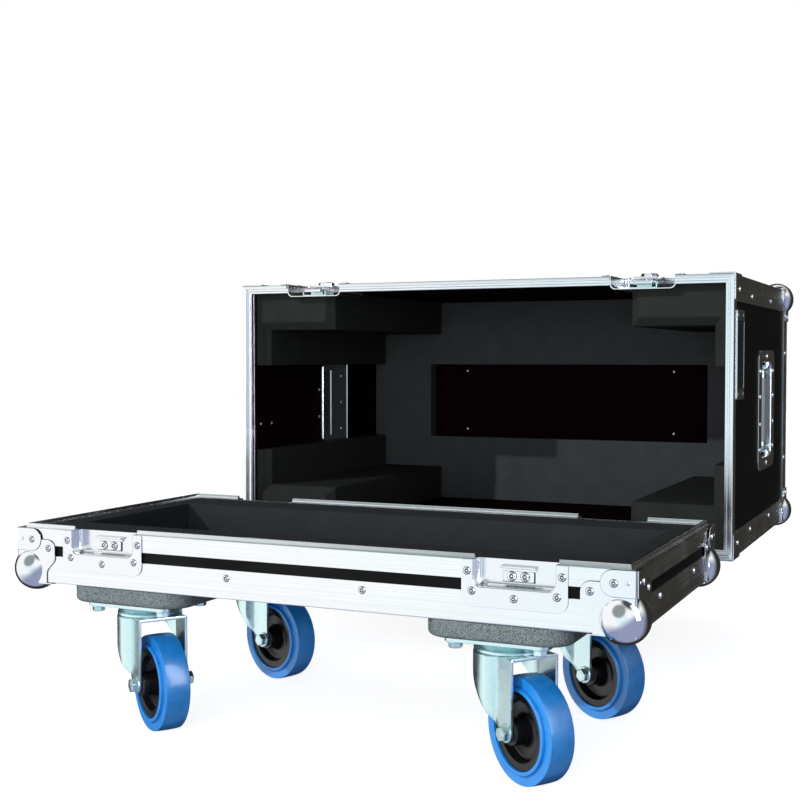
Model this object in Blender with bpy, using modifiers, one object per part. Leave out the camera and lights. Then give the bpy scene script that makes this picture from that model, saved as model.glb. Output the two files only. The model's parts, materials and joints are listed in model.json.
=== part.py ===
"""Flight case for a guitar amplifier head, opened: a tray on four castors, and the hood lying behind it.

Metres, +Z up. The floor is z = 0 and the origin lies on it, under the middle of the opened case.
The hood and all that it carries are modelled upright on the tray, where the closed case has them.
An empty on the hood's swing axis then lays the hood down on its rear wall, as it lies when opened.
Wall fittings are modelled once for a front wall: X runs along the wall, -Y points out of it, +Z is up.
"""

import math

import bmesh
import bpy
from mathutils import Matrix, Vector

# Case
CASE_WIDTH = 0.6724
CASE_DEPTH = 0.3381
TRAY_UNDERSIDE = 0.1505
HOOD_HEIGHT = 0.4402
HOOD_STANDOFF = 0.1161
FIT = 0.0003
WELD = 0.000001

# Walls and edge metal
PLY = 0.0070
METAL = 0.0015
LOWER_ANGLE_FACE = 0.0290
LOWER_ANGLE_SOLE = 0.0250
PANEL_STRIP = 0.0109
HOOD_ANGLE_FACE = 0.0320

# Tongue rim on the tray and stepped rim round the hood's mouth
RIM_FACE = 0.0179
RIM_INNER_LEG = 0.0318
TONGUE_HEIGHT = 0.0039
TONGUE_OFFSET = 0.0050
TONGUE_DRAFT = 0.0010
MOUTH_RAIL_LEG = 0.0170
REBATE_HEIGHT = 0.0042
BRACE_LENGTH = 0.0420
BRACE_WIDTH = 0.0300
BRACE_LAP = 0.0007

# Foam
TRAY_FOAM_DROP = 0.0013
POCKET_SIDE = 0.0350
POCKET_END = 0.0690
POCKET_FLOOR = 0.0129
HOOD_FOAM_START = 0.0213
CROWN_FOAM_THICKNESS = 0.0237
CORNER_FOAM_REACH = 0.1295
CORNER_FOAM_DEPTH = 0.0605
SIDE_FOAM_FACE = 0.0279
BARE_BAND = 0.1183
CROWN_WINDOW_END = 0.1103
CROWN_WINDOW_HEIGHT = 0.1177
FOAM_CHAMFER = 0.0110

# Pressed dishes for the latches
DISH_SHEET = 0.0010
DISH_FLANGE_WIDTH = 0.1057
DISH_CENTRE = 0.1101
DISH_CORNER = 0.0100
KEEPER_FLANGE_DROP = 0.0429
KEEPER_CUTOUT_WIDTH = 0.0773
KEEPER_CUTOUT_DROP = 0.0243
KEEPER_DEPTH = 0.0140
KEEPER_BAR_WIDTH = 0.0357
KEEPER_BAR_DROP = 0.0058
KEEPER_BAR_HEIGHT = 0.0030
KEEPER_BAR_DEPTH = 0.0050
KEEPER_PLATE_DROP = 0.0200
LATCH_CUTOUT_WIDTH = 0.0787
LATCH_CUTOUT_HEIGHT = 0.0800
LATCH_FLANGE_HEIGHT = 0.0930
LATCH_DEPTH = 0.0150
LATCH_BEND = 0.0070

# Butterfly latch
LATCH_PIVOT_HEIGHT = 0.0420
LATCH_CHANNEL_WIDTH = 0.0348
LATCH_CHANNEL_START = 0.0060
LATCH_CHANNEL_END = 0.0660
LATCH_CHANNEL_WALL = 0.0060
LATCH_STUD_RADIUS = 0.0050
HOOK_WIDTH = 0.0240
HOOK_THICKNESS = 0.0025
HOOK_DEPTH = 0.0055
HOOK_START = 0.0008
HOOK_TIP_DEPTH = 0.0120
HOOK_GUIDE_START = 0.0140
WING_WIDTH = 0.0436
WING_LENGTH = 0.0500
WING_DEPTH = 0.0010
WING_THICKNESS = 0.0020
WING_CORNER = 0.0100
TURRET_RADIUS = 0.0110
TURRET_PROUD = 0.0048
NECK_RADIUS = 0.0070

# Handle
HANDLE_ABOVE_MOUTH = 0.2540
HANDLE_SHEET = 0.0012
HANDLE_FLANGE_LENGTH = 0.1600
HANDLE_FLANGE_HEIGHT = 0.1320
HANDLE_FLANGE_CORNER = 0.0140
HANDLE_RECESS_LENGTH = 0.1280
HANDLE_RECESS_HEIGHT = 0.0808
HANDLE_RECESS_CORNER = 0.0100
HANDLE_RECESS_DEPTH = 0.0105
HANDLE_PIVOT_RISE = 0.0272
HANDLE_ROD_RADIUS = 0.0032
HANDLE_ROD_DEPTH = 0.0040
HANDLE_ROD_BEND = 0.0032
HANDLE_LUG_LENGTH = 0.0055
HANDLE_LUG_WALL = 0.0024
GRIP_LENGTH = 0.0980
GRIP_WIDTH = 0.0240
GRIP_THICKNESS = 0.0110
GRIP_DROP = 0.0070

# Label plate
LABEL_START = 0.0174
LABEL_HEIGHT = 0.0488
LABEL_FRONT = 0.0414
LABEL_LENGTH = 0.1080
LABEL_PROUD = 0.0018
LABEL_FIELD_BORDER = 0.0130
LABEL_FIELD_MARGIN = 0.0030
LABEL_FIELD_SINK = 0.0008

# Ball corners
BALL_RADIUS = 0.0198
BALL_INSET = 0.0093
CORNER_SHEET = 0.0012
CORNER_BLOCK = 0.0600
TRAY_LEG_FOOT = 0.0380
TRAY_LEG_ANKLE = 0.0120
TRAY_LEG_SWELL = 0.0480
TRAY_LEG_RADIUS = 0.0140
TRAY_LEG_HEAD = 0.0320
TRAY_SOLE_REACH = 0.0360
CROWN_LEG_REACH = 0.0460
LOBE_RADIUS = 0.0140
LOBE_RISE = 0.0050

# Castors
CASTOR_SIDE_INSET = 0.1324
CASTOR_END_INSET = 0.0517
CASTOR_TRAIL = 0.0323
WHEEL_RADIUS = 0.0500
BOARD_WIDTH = 0.1415
BOARD_DEPTH = 0.1018
BOARD_THICKNESS = 0.0174
BOARD_CORNER = 0.0270
BOARD_EDGE = 0.0030
TOP_PLATE_WIDTH = 0.1020
TOP_PLATE_DEPTH = 0.0860
TOP_PLATE_THICKNESS = 0.0040
TOP_PLATE_CORNER = 0.0080
PLATE_BOLT_X = 0.0410
PLATE_BOLT_Y = 0.0340
PLATE_BOLT_RADIUS = 0.0075
PLATE_BOLT_HEIGHT = 0.0050
RACE_RADIUS = 0.0300
RACE_HEIGHT = 0.0102
KINGPIN_RADIUS = 0.0060
KINGPIN_NUT_RADIUS = 0.0105
KINGPIN_NUT_HEIGHT = 0.0070
FORK_WIDTH = 0.0535
FORK_SHEET = 0.0030
FORK_BEND = 0.0080
FORK_FRONT = 0.0390
FORK_HEEL = 0.0280
FORK_SWEEP = 0.0720
FORK_FOOT_RADIUS = 0.0120
FORK_FOOT_SET = 0.0045
AXLE_RADIUS = 0.0050
AXLE_SPAN = 0.0688
AXLE_HEAD_RADIUS = 0.0085
AXLE_HEAD_HEIGHT = 0.0060
WASHER_RADIUS = 0.0105
BOSS_RADIUS = 0.0110
HUB_RADIUS = 0.0360
HUB_WIDTH = 0.0290
HUB_RIM = 0.0055
HUB_WEB = 0.0080
TYRE_WIDTH = 0.0257
TYRE_BEAD_WIDTH = 0.0320
TYRE_BEAD = 0.0034
TYRE_SHOULDER = 0.0025
CASTOR_ANGLES = {"front_left": 56, "front_right": 55, "rear_right": 61, "rear_left": 70}

# Places that follow from the sizes
HALF_WIDTH = CASE_WIDTH / 2
FRONT = -(CASE_DEPTH + HOOD_STANDOFF + HOOD_HEIGHT) / 2
REAR = FRONT + CASE_DEPTH
MIDDLE = (FRONT + REAR) / 2
LOWER_ANGLE_TOP = TRAY_UNDERSIDE + LOWER_ANGLE_FACE
RIM_FOOT = LOWER_ANGLE_TOP + PANEL_STRIP
SEAT = RIM_FOOT + RIM_FACE
MOUTH = SEAT + FIT
CROWN = MOUTH + HOOD_HEIGHT
MOUTH_AT_REST = REAR + HOOD_STANDOFF
PANEL_INSET = METAL + FIT
PANEL_INNER = PANEL_INSET + PLY
RIM_SLOT_END = PANEL_INNER + FIT
RIM_INNER = RIM_SLOT_END + METAL
REBATE_EDGE = TONGUE_OFFSET - FIT
MOUTH_WEB = REBATE_HEIGHT + METAL
HOOD_PIVOT = Vector((0, (MOUTH_AT_REST - MOUTH + TRAY_UNDERSIDE + REAR) / 2,
                     (TRAY_UNDERSIDE + REAR - MOUTH_AT_REST + MOUTH) / 2))
HOOD_LAID_DOWN = -math.pi / 2
BOARD_TOP = TRAY_UNDERSIDE - FIT
BOARD_BOTTOM = BOARD_TOP - BOARD_THICKNESS
TOP_PLATE_TOP = BOARD_BOTTOM - FIT
TOP_PLATE_BOTTOM = TOP_PLATE_TOP - TOP_PLATE_THICKNESS
RACE_BOTTOM = TOP_PLATE_BOTTOM - RACE_HEIGHT
FORK_TOP = RACE_BOTTOM - FIT
FORK_CROWN_UNDERSIDE = FORK_TOP - FORK_SHEET
AXLE_HEIGHT = WHEEL_RADIUS
TONGUE_TOP = SEAT + TONGUE_HEIGHT
LATCH_TUB_START = TONGUE_HEIGHT + 2 * FIT
OVERSHOOT = 0.01


def collection(name):
    """Makes a collection in the scene."""
    made = bpy.data.collections.new(name)
    bpy.context.scene.collection.children.link(made)
    return made


def clear_scene():
    """Takes every object out of the scene."""
    for old in list(bpy.data.objects):
        bpy.data.objects.remove(old, do_unlink=True)


clear_scene()
PARTS = collection("guitar_amplifier_flight_case")
CUTTERS = collection("cutters")


def material(name, colour, metallic, roughness):
    """A Principled material with one colour, metallic value and roughness."""
    made = bpy.data.materials.new(name)
    made.use_nodes = True
    shader = made.node_tree.nodes["Principled BSDF"]
    shader.inputs["Base Color"].default_value = (*colour, 1)
    shader.inputs["Metallic"].default_value = metallic
    shader.inputs["Roughness"].default_value = roughness
    made.diffuse_color = (*colour, 1)
    return made


ALUMINIUM = material("natural_aluminium", (0.80, 0.82, 0.83), 1.0, 0.35)
LAMINATE = material("black_laminate", (0.012, 0.012, 0.013), 0.0, 0.45)
FOAM = material("charcoal_foam", (0.030, 0.031, 0.033), 0.0, 0.95)
ZINC = material("bright_zinc", (0.62, 0.74, 0.74), 1.0, 0.30)
NICKEL = material("polished_nickel", (0.75, 0.75, 0.76), 1.0, 0.12)
BOARD = material("charcoal_board", (0.07, 0.075, 0.08), 0.0, 0.60)
HUB_PLASTIC = material("black_nylon", (0.015, 0.015, 0.017), 0.0, 0.50)
TYRE = material("blue_rubber", (0.03, 0.28, 0.80), 0.0, 0.45)
LABEL = material("bare_label", (0.55, 0.56, 0.57), 1.0, 0.40)


def mesh_object(name, mesh, place=(0, 0, 0)):
    """Puts a mesh in the parts collection."""
    made = bpy.data.objects.new(name, mesh)
    made.location = place
    PARTS.objects.link(made)
    return made


def box(name, low, high, top_draw=0.0):
    """A block between two corners; top_draw pulls its four upper edges in."""
    low, high = Vector(low), Vector(high)
    size = high - low
    bm = bmesh.new()
    bmesh.ops.create_cube(bm, size=1.0)
    bmesh.ops.scale(bm, vec=size, verts=bm.verts)
    for vertex in bm.verts:
        if vertex.co.z > 0:
            vertex.co.x -= math.copysign(top_draw, vertex.co.x)
            vertex.co.y -= math.copysign(top_draw, vertex.co.y)
    mesh = bpy.data.meshes.new(name)
    bm.to_mesh(mesh)
    bm.free()
    return mesh_object(name, mesh, (low + high) / 2)


def inset_block(name, inset, low_z, high_z, top_draw=0.0):
    """A block of the case's own plan, set in from the four outer faces."""
    low = (-HALF_WIDTH + inset, FRONT + inset, low_z)
    high = (HALF_WIDTH - inset, REAR - inset, high_z)
    return box(name, low, high, top_draw)


AXIS_TURN = {"Z": (0, 0, 0), "Y": (math.pi / 2, 0, 0), "X": (math.pi / 2, 0, math.pi / 2)}


def cylinder(name, radius, start, end, centre, axis="Z", sides=24):
    """A round or many-sided bar along an axis; centre holds its place across that axis."""
    bm = bmesh.new()
    bmesh.ops.create_cone(bm, cap_ends=True, segments=sides, radius1=radius, radius2=radius,
                          depth=end - start)
    mesh = bpy.data.meshes.new(name)
    bm.to_mesh(mesh)
    bm.free()
    made = mesh_object(name, mesh, centre)
    made.location["XYZ".index(axis)] = (start + end) / 2
    made.rotation_euler = AXIS_TURN[axis]
    return made


def evaluated_mesh(thing):
    """The mesh of an object with its modifiers or curve settings applied."""
    bpy.context.view_layer.update()
    seen = thing.evaluated_get(bpy.context.evaluated_depsgraph_get())
    return bpy.data.meshes.new_from_object(seen)


def solid_from_curve(curve_object):
    """Turns a filled curve into a closed mesh object with the same place."""
    mesh = evaluated_mesh(curve_object)
    bm = bmesh.new()
    bm.from_mesh(mesh)
    bmesh.ops.remove_doubles(bm, verts=bm.verts, dist=WELD)
    bm.to_mesh(mesh)
    bm.free()
    made = mesh_object(curve_object.name, mesh)
    made.matrix_world = curve_object.matrix_world
    bpy.data.objects.remove(curve_object, do_unlink=True)
    return made


def prism(name, outline, start, end, axis="Z"):
    """A flat outline swept along an axis: (x, y) along Z, (x, z) along Y, (y, z) along X."""
    curve = bpy.data.curves.new(name, "CURVE")
    curve.dimensions = "2D"
    curve.fill_mode = "BOTH"
    curve.extrude = (end - start) / 2
    spline = curve.splines.new("POLY")
    spline.points.add(len(outline) - 1)
    for point, (u, v) in zip(spline.points, outline):
        point.co = (u, v, 0, 1)
    spline.use_cyclic_u = True
    made = bpy.data.objects.new(name, curve)
    PARTS.objects.link(made)
    made.location["XYZ".index(axis)] = (start + end) / 2
    made.rotation_euler = AXIS_TURN[axis]
    return solid_from_curve(made)


def arc(centre, radius, start, end, steps):
    """Points on a circle from one angle to another, in degrees."""
    angles = [math.radians(start + (end - start) * step / steps) for step in range(steps + 1)]
    return [(centre[0] + radius * math.cos(a), centre[1] + radius * math.sin(a)) for a in angles]


def rounded_rectangle(width, height, radius, centre=(0, 0), steps=3):
    """The outline of a rectangle with round corners, anticlockwise from the upper right."""
    outline = []
    for quarter, (x_side, y_side) in enumerate([(1, 1), (-1, 1), (-1, -1), (1, -1)]):
        corner = (centre[0] + x_side * (width / 2 - radius), centre[1] + y_side * (height / 2 - radius))
        outline += arc(corner, radius, 90 * quarter, 90 * quarter + 90, steps)
    return outline


def turned(name, profile, steps, closed=True):
    """A profile of (radius, height) points turned round Z."""
    bm = bmesh.new()
    points = [bm.verts.new((radius, 0, height)) for radius, height in profile]
    for first, second in zip(points, points[1:] + points[:1] if closed else points[1:]):
        bm.edges.new((first, second))
    mesh = bpy.data.meshes.new(name)
    bm.to_mesh(mesh)
    bm.free()
    made = mesh_object(name, mesh)
    screw = made.modifiers.new("turn", "SCREW")
    screw.axis = "Z"
    screw.steps = screw.render_steps = steps
    screw.use_merge_vertices = True
    screw.merge_threshold = WELD
    screw.use_normal_calculate = False
    return made


def use_tool(target, tool, operation):
    """Adds a Boolean and puts its tool with the cutters, where it follows the target."""
    bpy.context.view_layer.update()
    step = target.modifiers.new(tool.name, "BOOLEAN")
    step.operation = operation
    step.object = tool
    tool.parent = target
    tool.matrix_parent_inverse = target.matrix_world.inverted()
    PARTS.objects.unlink(tool)
    CUTTERS.objects.link(tool)
    tool.hide_render = True
    tool.display_type = "WIRE"


def cut(target, *tools):
    """Takes the tools' shapes out of the target."""
    for tool in tools:
        use_tool(target, tool, "DIFFERENCE")


def join(target, *tools):
    """Adds the tools' shapes to the target."""
    for tool in tools:
        use_tool(target, tool, "UNION")


def keep(target, tool):
    """Leaves only what the target shares with the tool."""
    use_tool(target, tool, "INTERSECT")


def round_edges(target, width, segments=1):
    """Rounds every edge that bends more than 40 degrees."""
    step = target.modifiers.new("round_edges", "BEVEL")
    step.width = width
    step.segments = segments
    step.limit_method = "ANGLE"
    step.angle_limit = math.radians(40)


def pattern(template):
    """Turns a finished template into a mesh that copies can share, and clears its tools."""
    mesh = evaluated_mesh(template)
    mesh.transform(template.matrix_world)
    mesh.name = template.name
    for tool in list(template.children):
        bpy.data.objects.remove(tool, do_unlink=True)
    bpy.data.objects.remove(template, do_unlink=True)
    return mesh


def shade(thing):
    """Smooth shading that keeps edges over 35 degrees sharp."""
    thing.data.shade_smooth()
    thing.data.set_sharp_from_angle(angle=math.radians(35))


def finish(thing, surface):
    """Gives a part its material and shading."""
    thing.data.materials.clear()
    thing.data.materials.append(surface)
    shade(thing)
    return thing


def place(name, mesh, location, turn=0.0):
    """Places a shared mesh, turned round Z."""
    made = mesh_object(name, mesh, location)
    made.rotation_euler = (0, 0, turn)
    return made


def carry(thing, carrier):
    """Parents a thing without moving it."""
    bpy.context.view_layer.update()
    thing.parent = carrier
    thing.matrix_parent_inverse = carrier.matrix_world.inverted()


def empty(name, location, turn=0.0):
    """An empty on a joint's axis."""
    made = bpy.data.objects.new(name, None)
    made.location = location
    made.rotation_euler = (0, 0, turn)
    PARTS.objects.link(made)
    return made


def dish_places():
    """Side and wall names with the place and turn of each latch position."""
    for side, x in (("left", -HALF_WIDTH + DISH_CENTRE), ("right", HALF_WIDTH - DISH_CENTRE)):
        yield f"front_{side}", x, FRONT, 0.0
        yield f"rear_{side}", x, REAR, math.pi


def corner_places():
    """Names, places and turns of the four vertical edges of the case."""
    yield "front_left", -HALF_WIDTH, FRONT, 0.0
    yield "front_right", HALF_WIDTH, FRONT, math.pi / 2
    yield "rear_right", HALF_WIDTH, REAR, math.pi
    yield "rear_left", -HALF_WIDTH, REAR, -math.pi / 2


def tray_wall_windows(name, half_width, low_z, depth):
    """Blocks that open the front and rear walls at the four latch keepers."""
    for place_name, x, y, _ in dish_places():
        inward = 1 if y == FRONT else -1
        y_span = sorted((y - inward * OVERSHOOT, y + inward * depth))
        yield box(f"{name}_{place_name}", (x - half_width, y_span[0], low_z),
                  (x + half_width, y_span[1], TONGUE_TOP + OVERSHOOT))


def make_tray_panel():
    """Plywood floor and walls in one tray, inside the edge metal."""
    floor = TRAY_UNDERSIDE + PANEL_INSET
    panel = inset_block("tray_panel", PANEL_INSET, floor, SEAT - METAL - FIT)
    cut(panel, inset_block("tray_hollow", PANEL_INNER, floor + PLY, SEAT + OVERSHOOT))
    window_half = KEEPER_CUTOUT_WIDTH / 2 + DISH_SHEET + FIT
    window_low = SEAT - KEEPER_CUTOUT_DROP - DISH_SHEET - FIT
    cut(panel, *tray_wall_windows("panel_window", window_half, window_low, PANEL_INNER + OVERSHOOT))
    return finish(panel, LAMINATE)


def make_lower_angle():
    """Angle section round the tray's lower edges."""
    angle = inset_block("tray_lower_angle", 0, TRAY_UNDERSIDE, LOWER_ANGLE_TOP)
    cut(angle, inset_block("angle_hollow", METAL, TRAY_UNDERSIDE + METAL, LOWER_ANGLE_TOP + OVERSHOOT))
    cut(angle, inset_block("angle_opening", LOWER_ANGLE_SOLE, TRAY_UNDERSIDE - OVERSHOOT, SEAT))
    return finish(angle, ALUMINIUM)


def band_cutter(name, outer_inset, inner_inset, low_z, high_z):
    """A rectangular band that follows the case's plan between two insets."""
    low = Vector((-HALF_WIDTH + outer_inset, FRONT + outer_inset, low_z))
    high = Vector((HALF_WIDTH - outer_inset, REAR - outer_inset, high_z))
    band = box(name, low, high)
    bm = bmesh.new()
    bm.from_mesh(band.data)
    ends = [face for face in bm.faces if abs(face.normal.z) > 0.5]
    bmesh.ops.delete(bm, geom=ends, context="FACES_ONLY")
    bm.to_mesh(band.data)
    bm.free()
    wall = band.modifiers.new("wall", "SOLIDIFY")
    wall.thickness = inner_inset - outer_inset
    wall.offset = -1
    wall.use_even_offset = True
    return band


def make_tray_rim():
    """Tongue extrusion on the tray's upper edge: a channel over the plywood, a tapered tongue on top."""
    inner_leg_foot = SEAT - RIM_INNER_LEG
    rim = inset_block("tray_rim", 0, inner_leg_foot, SEAT)
    tongue = inset_block("tongue", TONGUE_OFFSET, SEAT - METAL, TONGUE_TOP, TONGUE_DRAFT)
    join(rim, tongue)
    cut(rim, band_cutter("panel_slot", METAL, RIM_SLOT_END, inner_leg_foot - OVERSHOOT, SEAT - METAL))
    cut(rim, band_cutter("below_face", -OVERSHOOT, METAL + FIT, inner_leg_foot - OVERSHOOT, RIM_FOOT))
    cut(rim, inset_block("rim_opening", RIM_INNER, inner_leg_foot - OVERSHOOT, TONGUE_TOP + OVERSHOOT))
    notch_half = KEEPER_CUTOUT_WIDTH / 2 + DISH_SHEET + FIT
    notch_low = SEAT - KEEPER_CUTOUT_DROP - DISH_SHEET - FIT
    cut(rim, *tray_wall_windows("rim_notch", notch_half, notch_low, RIM_INNER + OVERSHOOT))
    return finish(rim, ALUMINIUM)


def make_tray_foam():
    """Foam bed of the tray with a straight-sided pocket for the amplifier."""
    floor = TRAY_UNDERSIDE + PANEL_INNER + FIT
    top = SEAT - TRAY_FOAM_DROP
    foam = inset_block("tray_foam", RIM_INNER + FIT, floor, top)
    low = (-HALF_WIDTH + POCKET_SIDE, FRONT + POCKET_END, floor + POCKET_FLOOR)
    high = (HALF_WIDTH - POCKET_SIDE, REAR - POCKET_END, top + OVERSHOOT)
    cut(foam, box("pocket", low, high))
    relief_half = KEEPER_CUTOUT_WIDTH / 2 + DISH_SHEET + 2 * FIT
    relief_low = SEAT - KEEPER_CUTOUT_DROP - DISH_SHEET - 2 * FIT
    relief_depth = KEEPER_DEPTH + DISH_SHEET + FIT
    cut(foam, *tray_wall_windows("keeper_relief", relief_half, relief_low, relief_depth))
    return finish(foam, FOAM)


def pressed_flange(name, width, low_z, high_z, round_low):
    """A flat flange on a wall's outer face, its two corners away from the case's parting line rounded."""
    half = width / 2
    r = DISH_CORNER
    if round_low:
        corners = arc((-half + r, low_z + r), r, 180, 270, 4) + arc((half - r, low_z + r), r, 270, 360, 4)
        outline = [(-half, high_z), *corners, (half, high_z)]
    else:
        corners = arc((half - r, high_z - r), r, 0, 90, 4) + arc((-half + r, high_z - r), r, 90, 180, 4)
        outline = [(half, low_z), *corners, (-half, low_z)]
    return prism(name, outline, -FIT - DISH_SHEET, -FIT, "Y")


def latch_keeper_pattern():
    """Half dish in the tray's wall, with the keeper that a latch hook catches. Heights are from the seat."""
    half = KEEPER_CUTOUT_WIDTH / 2
    bar_half = KEEPER_BAR_WIDTH / 2
    buried = KEEPER_DEPTH + DISH_SHEET / 2
    dish = pressed_flange("latch_keeper", DISH_FLANGE_WIDTH, -KEEPER_FLANGE_DROP, -FIT, True)
    tub_low = -KEEPER_CUTOUT_DROP - DISH_SHEET
    join(dish, box("keeper_tub", (-half - DISH_SHEET, -FIT - DISH_SHEET / 2, tub_low),
                   (half + DISH_SHEET, KEEPER_DEPTH + DISH_SHEET, -FIT)))
    cut(dish, box("keeper_hollow", (-half, -OVERSHOOT, -KEEPER_CUTOUT_DROP),
                  (half, KEEPER_DEPTH, OVERSHOOT)))
    join(dish, box("keeper_plate", (-bar_half, KEEPER_DEPTH - METAL, -KEEPER_PLATE_DROP),
                   (bar_half, buried, -KEEPER_BAR_DROP - KEEPER_BAR_HEIGHT / 2)))
    bar_low = -KEEPER_BAR_DROP - KEEPER_BAR_HEIGHT
    join(dish, box("keeper_bar", (-bar_half, KEEPER_DEPTH - KEEPER_BAR_DEPTH, bar_low),
                   (bar_half, buried, -KEEPER_BAR_DROP)))
    return pattern(dish)


def latch_tub(name, half, depth, bend, start, end):
    """A trough along Z with round bottom corners, open outwards."""
    outline = [(-half, -OVERSHOOT if bend == LATCH_BEND else -FIT - DISH_SHEET / 2)]
    outline += arc((-half + bend, depth - bend), bend, 180, 90, 4)
    outline += arc((half - bend, depth - bend), bend, 90, 0, 4)
    outline += [(half, outline[0][1])]
    return prism(name, outline, start, end)


def latch_dish_pattern():
    """Dish in the hood's wall with the latch's channel, hook guide and stud. Heights are from the mouth."""
    half = LATCH_CUTOUT_WIDTH / 2
    channel = LATCH_CHANNEL_WIDTH / 2
    buried = LATCH_DEPTH + DISH_SHEET / 2
    dish = pressed_flange("latch_dish", DISH_FLANGE_WIDTH, FIT, LATCH_FLANGE_HEIGHT, False)
    join(dish, latch_tub("latch_tub", half + DISH_SHEET, LATCH_DEPTH + DISH_SHEET, LATCH_BEND + DISH_SHEET,
                         LATCH_TUB_START, LATCH_CUTOUT_HEIGHT + DISH_SHEET))
    cut(dish, latch_tub("latch_hollow", half, LATCH_DEPTH, LATCH_BEND, -OVERSHOOT, LATCH_CUTOUT_HEIGHT))
    join(dish, box("channel_base", (-channel, LATCH_DEPTH - METAL, LATCH_CHANNEL_START),
                   (channel, buried, LATCH_CHANNEL_END)))
    for side in (-1, 1):
        x_span = sorted((side * channel, side * (channel - METAL)))
        join(dish, box("channel_wall", (x_span[0], LATCH_DEPTH - LATCH_CHANNEL_WALL, LATCH_CHANNEL_START),
                       (x_span[1], buried, LATCH_CHANNEL_END)))
    guide_half = HOOK_WIDTH / 2 - 2 * METAL
    guide_top = HOOK_DEPTH + HOOK_THICKNESS + FIT
    guide_end = LATCH_PIVOT_HEIGHT - LATCH_STUD_RADIUS
    join(dish, box("hook_guide", (-guide_half, guide_top, HOOK_GUIDE_START),
                   (guide_half, buried, guide_end)))
    stud_top = HOOK_DEPTH - FIT
    join(dish, cylinder("stud", LATCH_STUD_RADIUS, stud_top, buried, (0, 0, LATCH_PIVOT_HEIGHT), "Y", 16))
    return pattern(dish)


def latch_wing_pattern():
    """Butterfly leaf with its turret, round the latch's pivot."""
    outline = rounded_rectangle(WING_WIDTH, WING_LENGTH, WING_CORNER)
    wing = prism("latch_wing", outline, WING_DEPTH, WING_DEPTH + WING_THICKNESS, "Y")
    neck_end = HOOK_DEPTH - 2 * FIT
    join(wing, cylinder("neck", NECK_RADIUS, WING_DEPTH + WING_THICKNESS / 2, neck_end, (0, 0, 0), "Y", 16))
    turret_end = WING_DEPTH + WING_THICKNESS / 2
    join(wing, cylinder("turret", TURRET_RADIUS, -TURRET_PROUD, turret_end, (0, 0, 0), "Y", 8))
    return pattern(wing)


def latch_hook_pattern():
    """Sliding hook with its tip turned in, which catches the keeper bar. Heights are from the mouth."""
    half = HOOK_WIDTH / 2
    hook_end = LATCH_PIVOT_HEIGHT - LATCH_STUD_RADIUS - METAL
    hook = box("latch_hook", (-half, HOOK_DEPTH, HOOK_START), (half, HOOK_DEPTH + HOOK_THICKNESS, hook_end))
    join(hook, box("hook_tip", (-half, HOOK_DEPTH + METAL, HOOK_START),
                   (half, HOOK_TIP_DEPTH, HOOK_START + HOOK_THICKNESS)))
    return pattern(hook)


def case_corner_block(name, reach):
    """The space that the case itself fills at a corner, with its clearance."""
    return box(name, (-FIT, -FIT, -FIT), (reach, reach, reach))


def corner_pattern(name, front_outline, lid_outline):
    """Ball corner at a lower corner of the case: a ball and three riveted legs, hollow round the case."""
    outer = -FIT - CORNER_SHEET
    bm = bmesh.new()
    bmesh.ops.create_uvsphere(bm, u_segments=18, v_segments=12, radius=BALL_RADIUS)
    mesh = bpy.data.meshes.new(name)
    bm.to_mesh(mesh)
    bm.free()
    ball = mesh_object(name, mesh, (BALL_INSET, BALL_INSET, BALL_INSET))
    join(ball, prism("front_leg", front_outline, outer, METAL, "Y"))
    join(ball, prism("side_leg", front_outline, outer, METAL, "X"))
    join(ball, prism("lid_leg", lid_outline, outer, METAL, "Z"))
    cut(ball, case_corner_block("case_corner", CORNER_BLOCK))
    return pattern(ball)


def tray_leg_outline():
    """Leg of a tray corner: it laps both extrusions, swells beside the strip and draws in at the foot."""
    edge = -FIT - CORNER_SHEET
    top = SEAT - TRAY_UNDERSIDE - FIT
    strip_middle = LOWER_ANGLE_FACE + PANEL_STRIP / 2
    swell = arc((TRAY_LEG_SWELL - TRAY_LEG_RADIUS, strip_middle), TRAY_LEG_RADIUS, -50, 70, 5)
    return [(edge, edge), (TRAY_LEG_FOOT, edge), (TRAY_LEG_FOOT, TRAY_LEG_ANKLE), *swell,
            (TRAY_LEG_HEAD, top), (edge, top)]


def lobed_outline(reach):
    """Leg with one round lobe along each edge."""
    edge = -FIT - CORNER_SHEET
    lobe = [(reach, edge), *arc((reach - LOBE_RADIUS, LOBE_RISE), LOBE_RADIUS, -10, 90, 4)]
    return [(edge, edge), *lobe, *[(v, u) for u, v in reversed(lobe)]]


def make_corners(hood_pivot):
    """Four ball corners under the tray and four on the hood's crown."""
    tray_mesh = corner_pattern("tray_corner", tray_leg_outline(), lobed_outline(TRAY_SOLE_REACH))
    crown_leg = lobed_outline(CROWN_LEG_REACH)
    crown_mesh = corner_pattern("hood_corner", crown_leg, crown_leg)
    crown_mesh.transform(Matrix.Rotation(math.pi, 4, Vector((1, 1, 0))))
    for name, x, y, turn in corner_places():
        finish(place(f"tray_corner_{name}", tray_mesh, (x, y, TRAY_UNDERSIDE), turn), NICKEL)
        crown = finish(place(f"hood_corner_{name}", crown_mesh, (x, y, CROWN), turn), NICKEL)
        carry(crown, hood_pivot)


def make_keepers():
    """One keeper dish in the tray's wall at each latch."""
    mesh = latch_keeper_pattern()
    for name, x, y, turn in dish_places():
        finish(place(f"latch_keeper_{name}", mesh, (x, y, SEAT), turn), ZINC)


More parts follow.
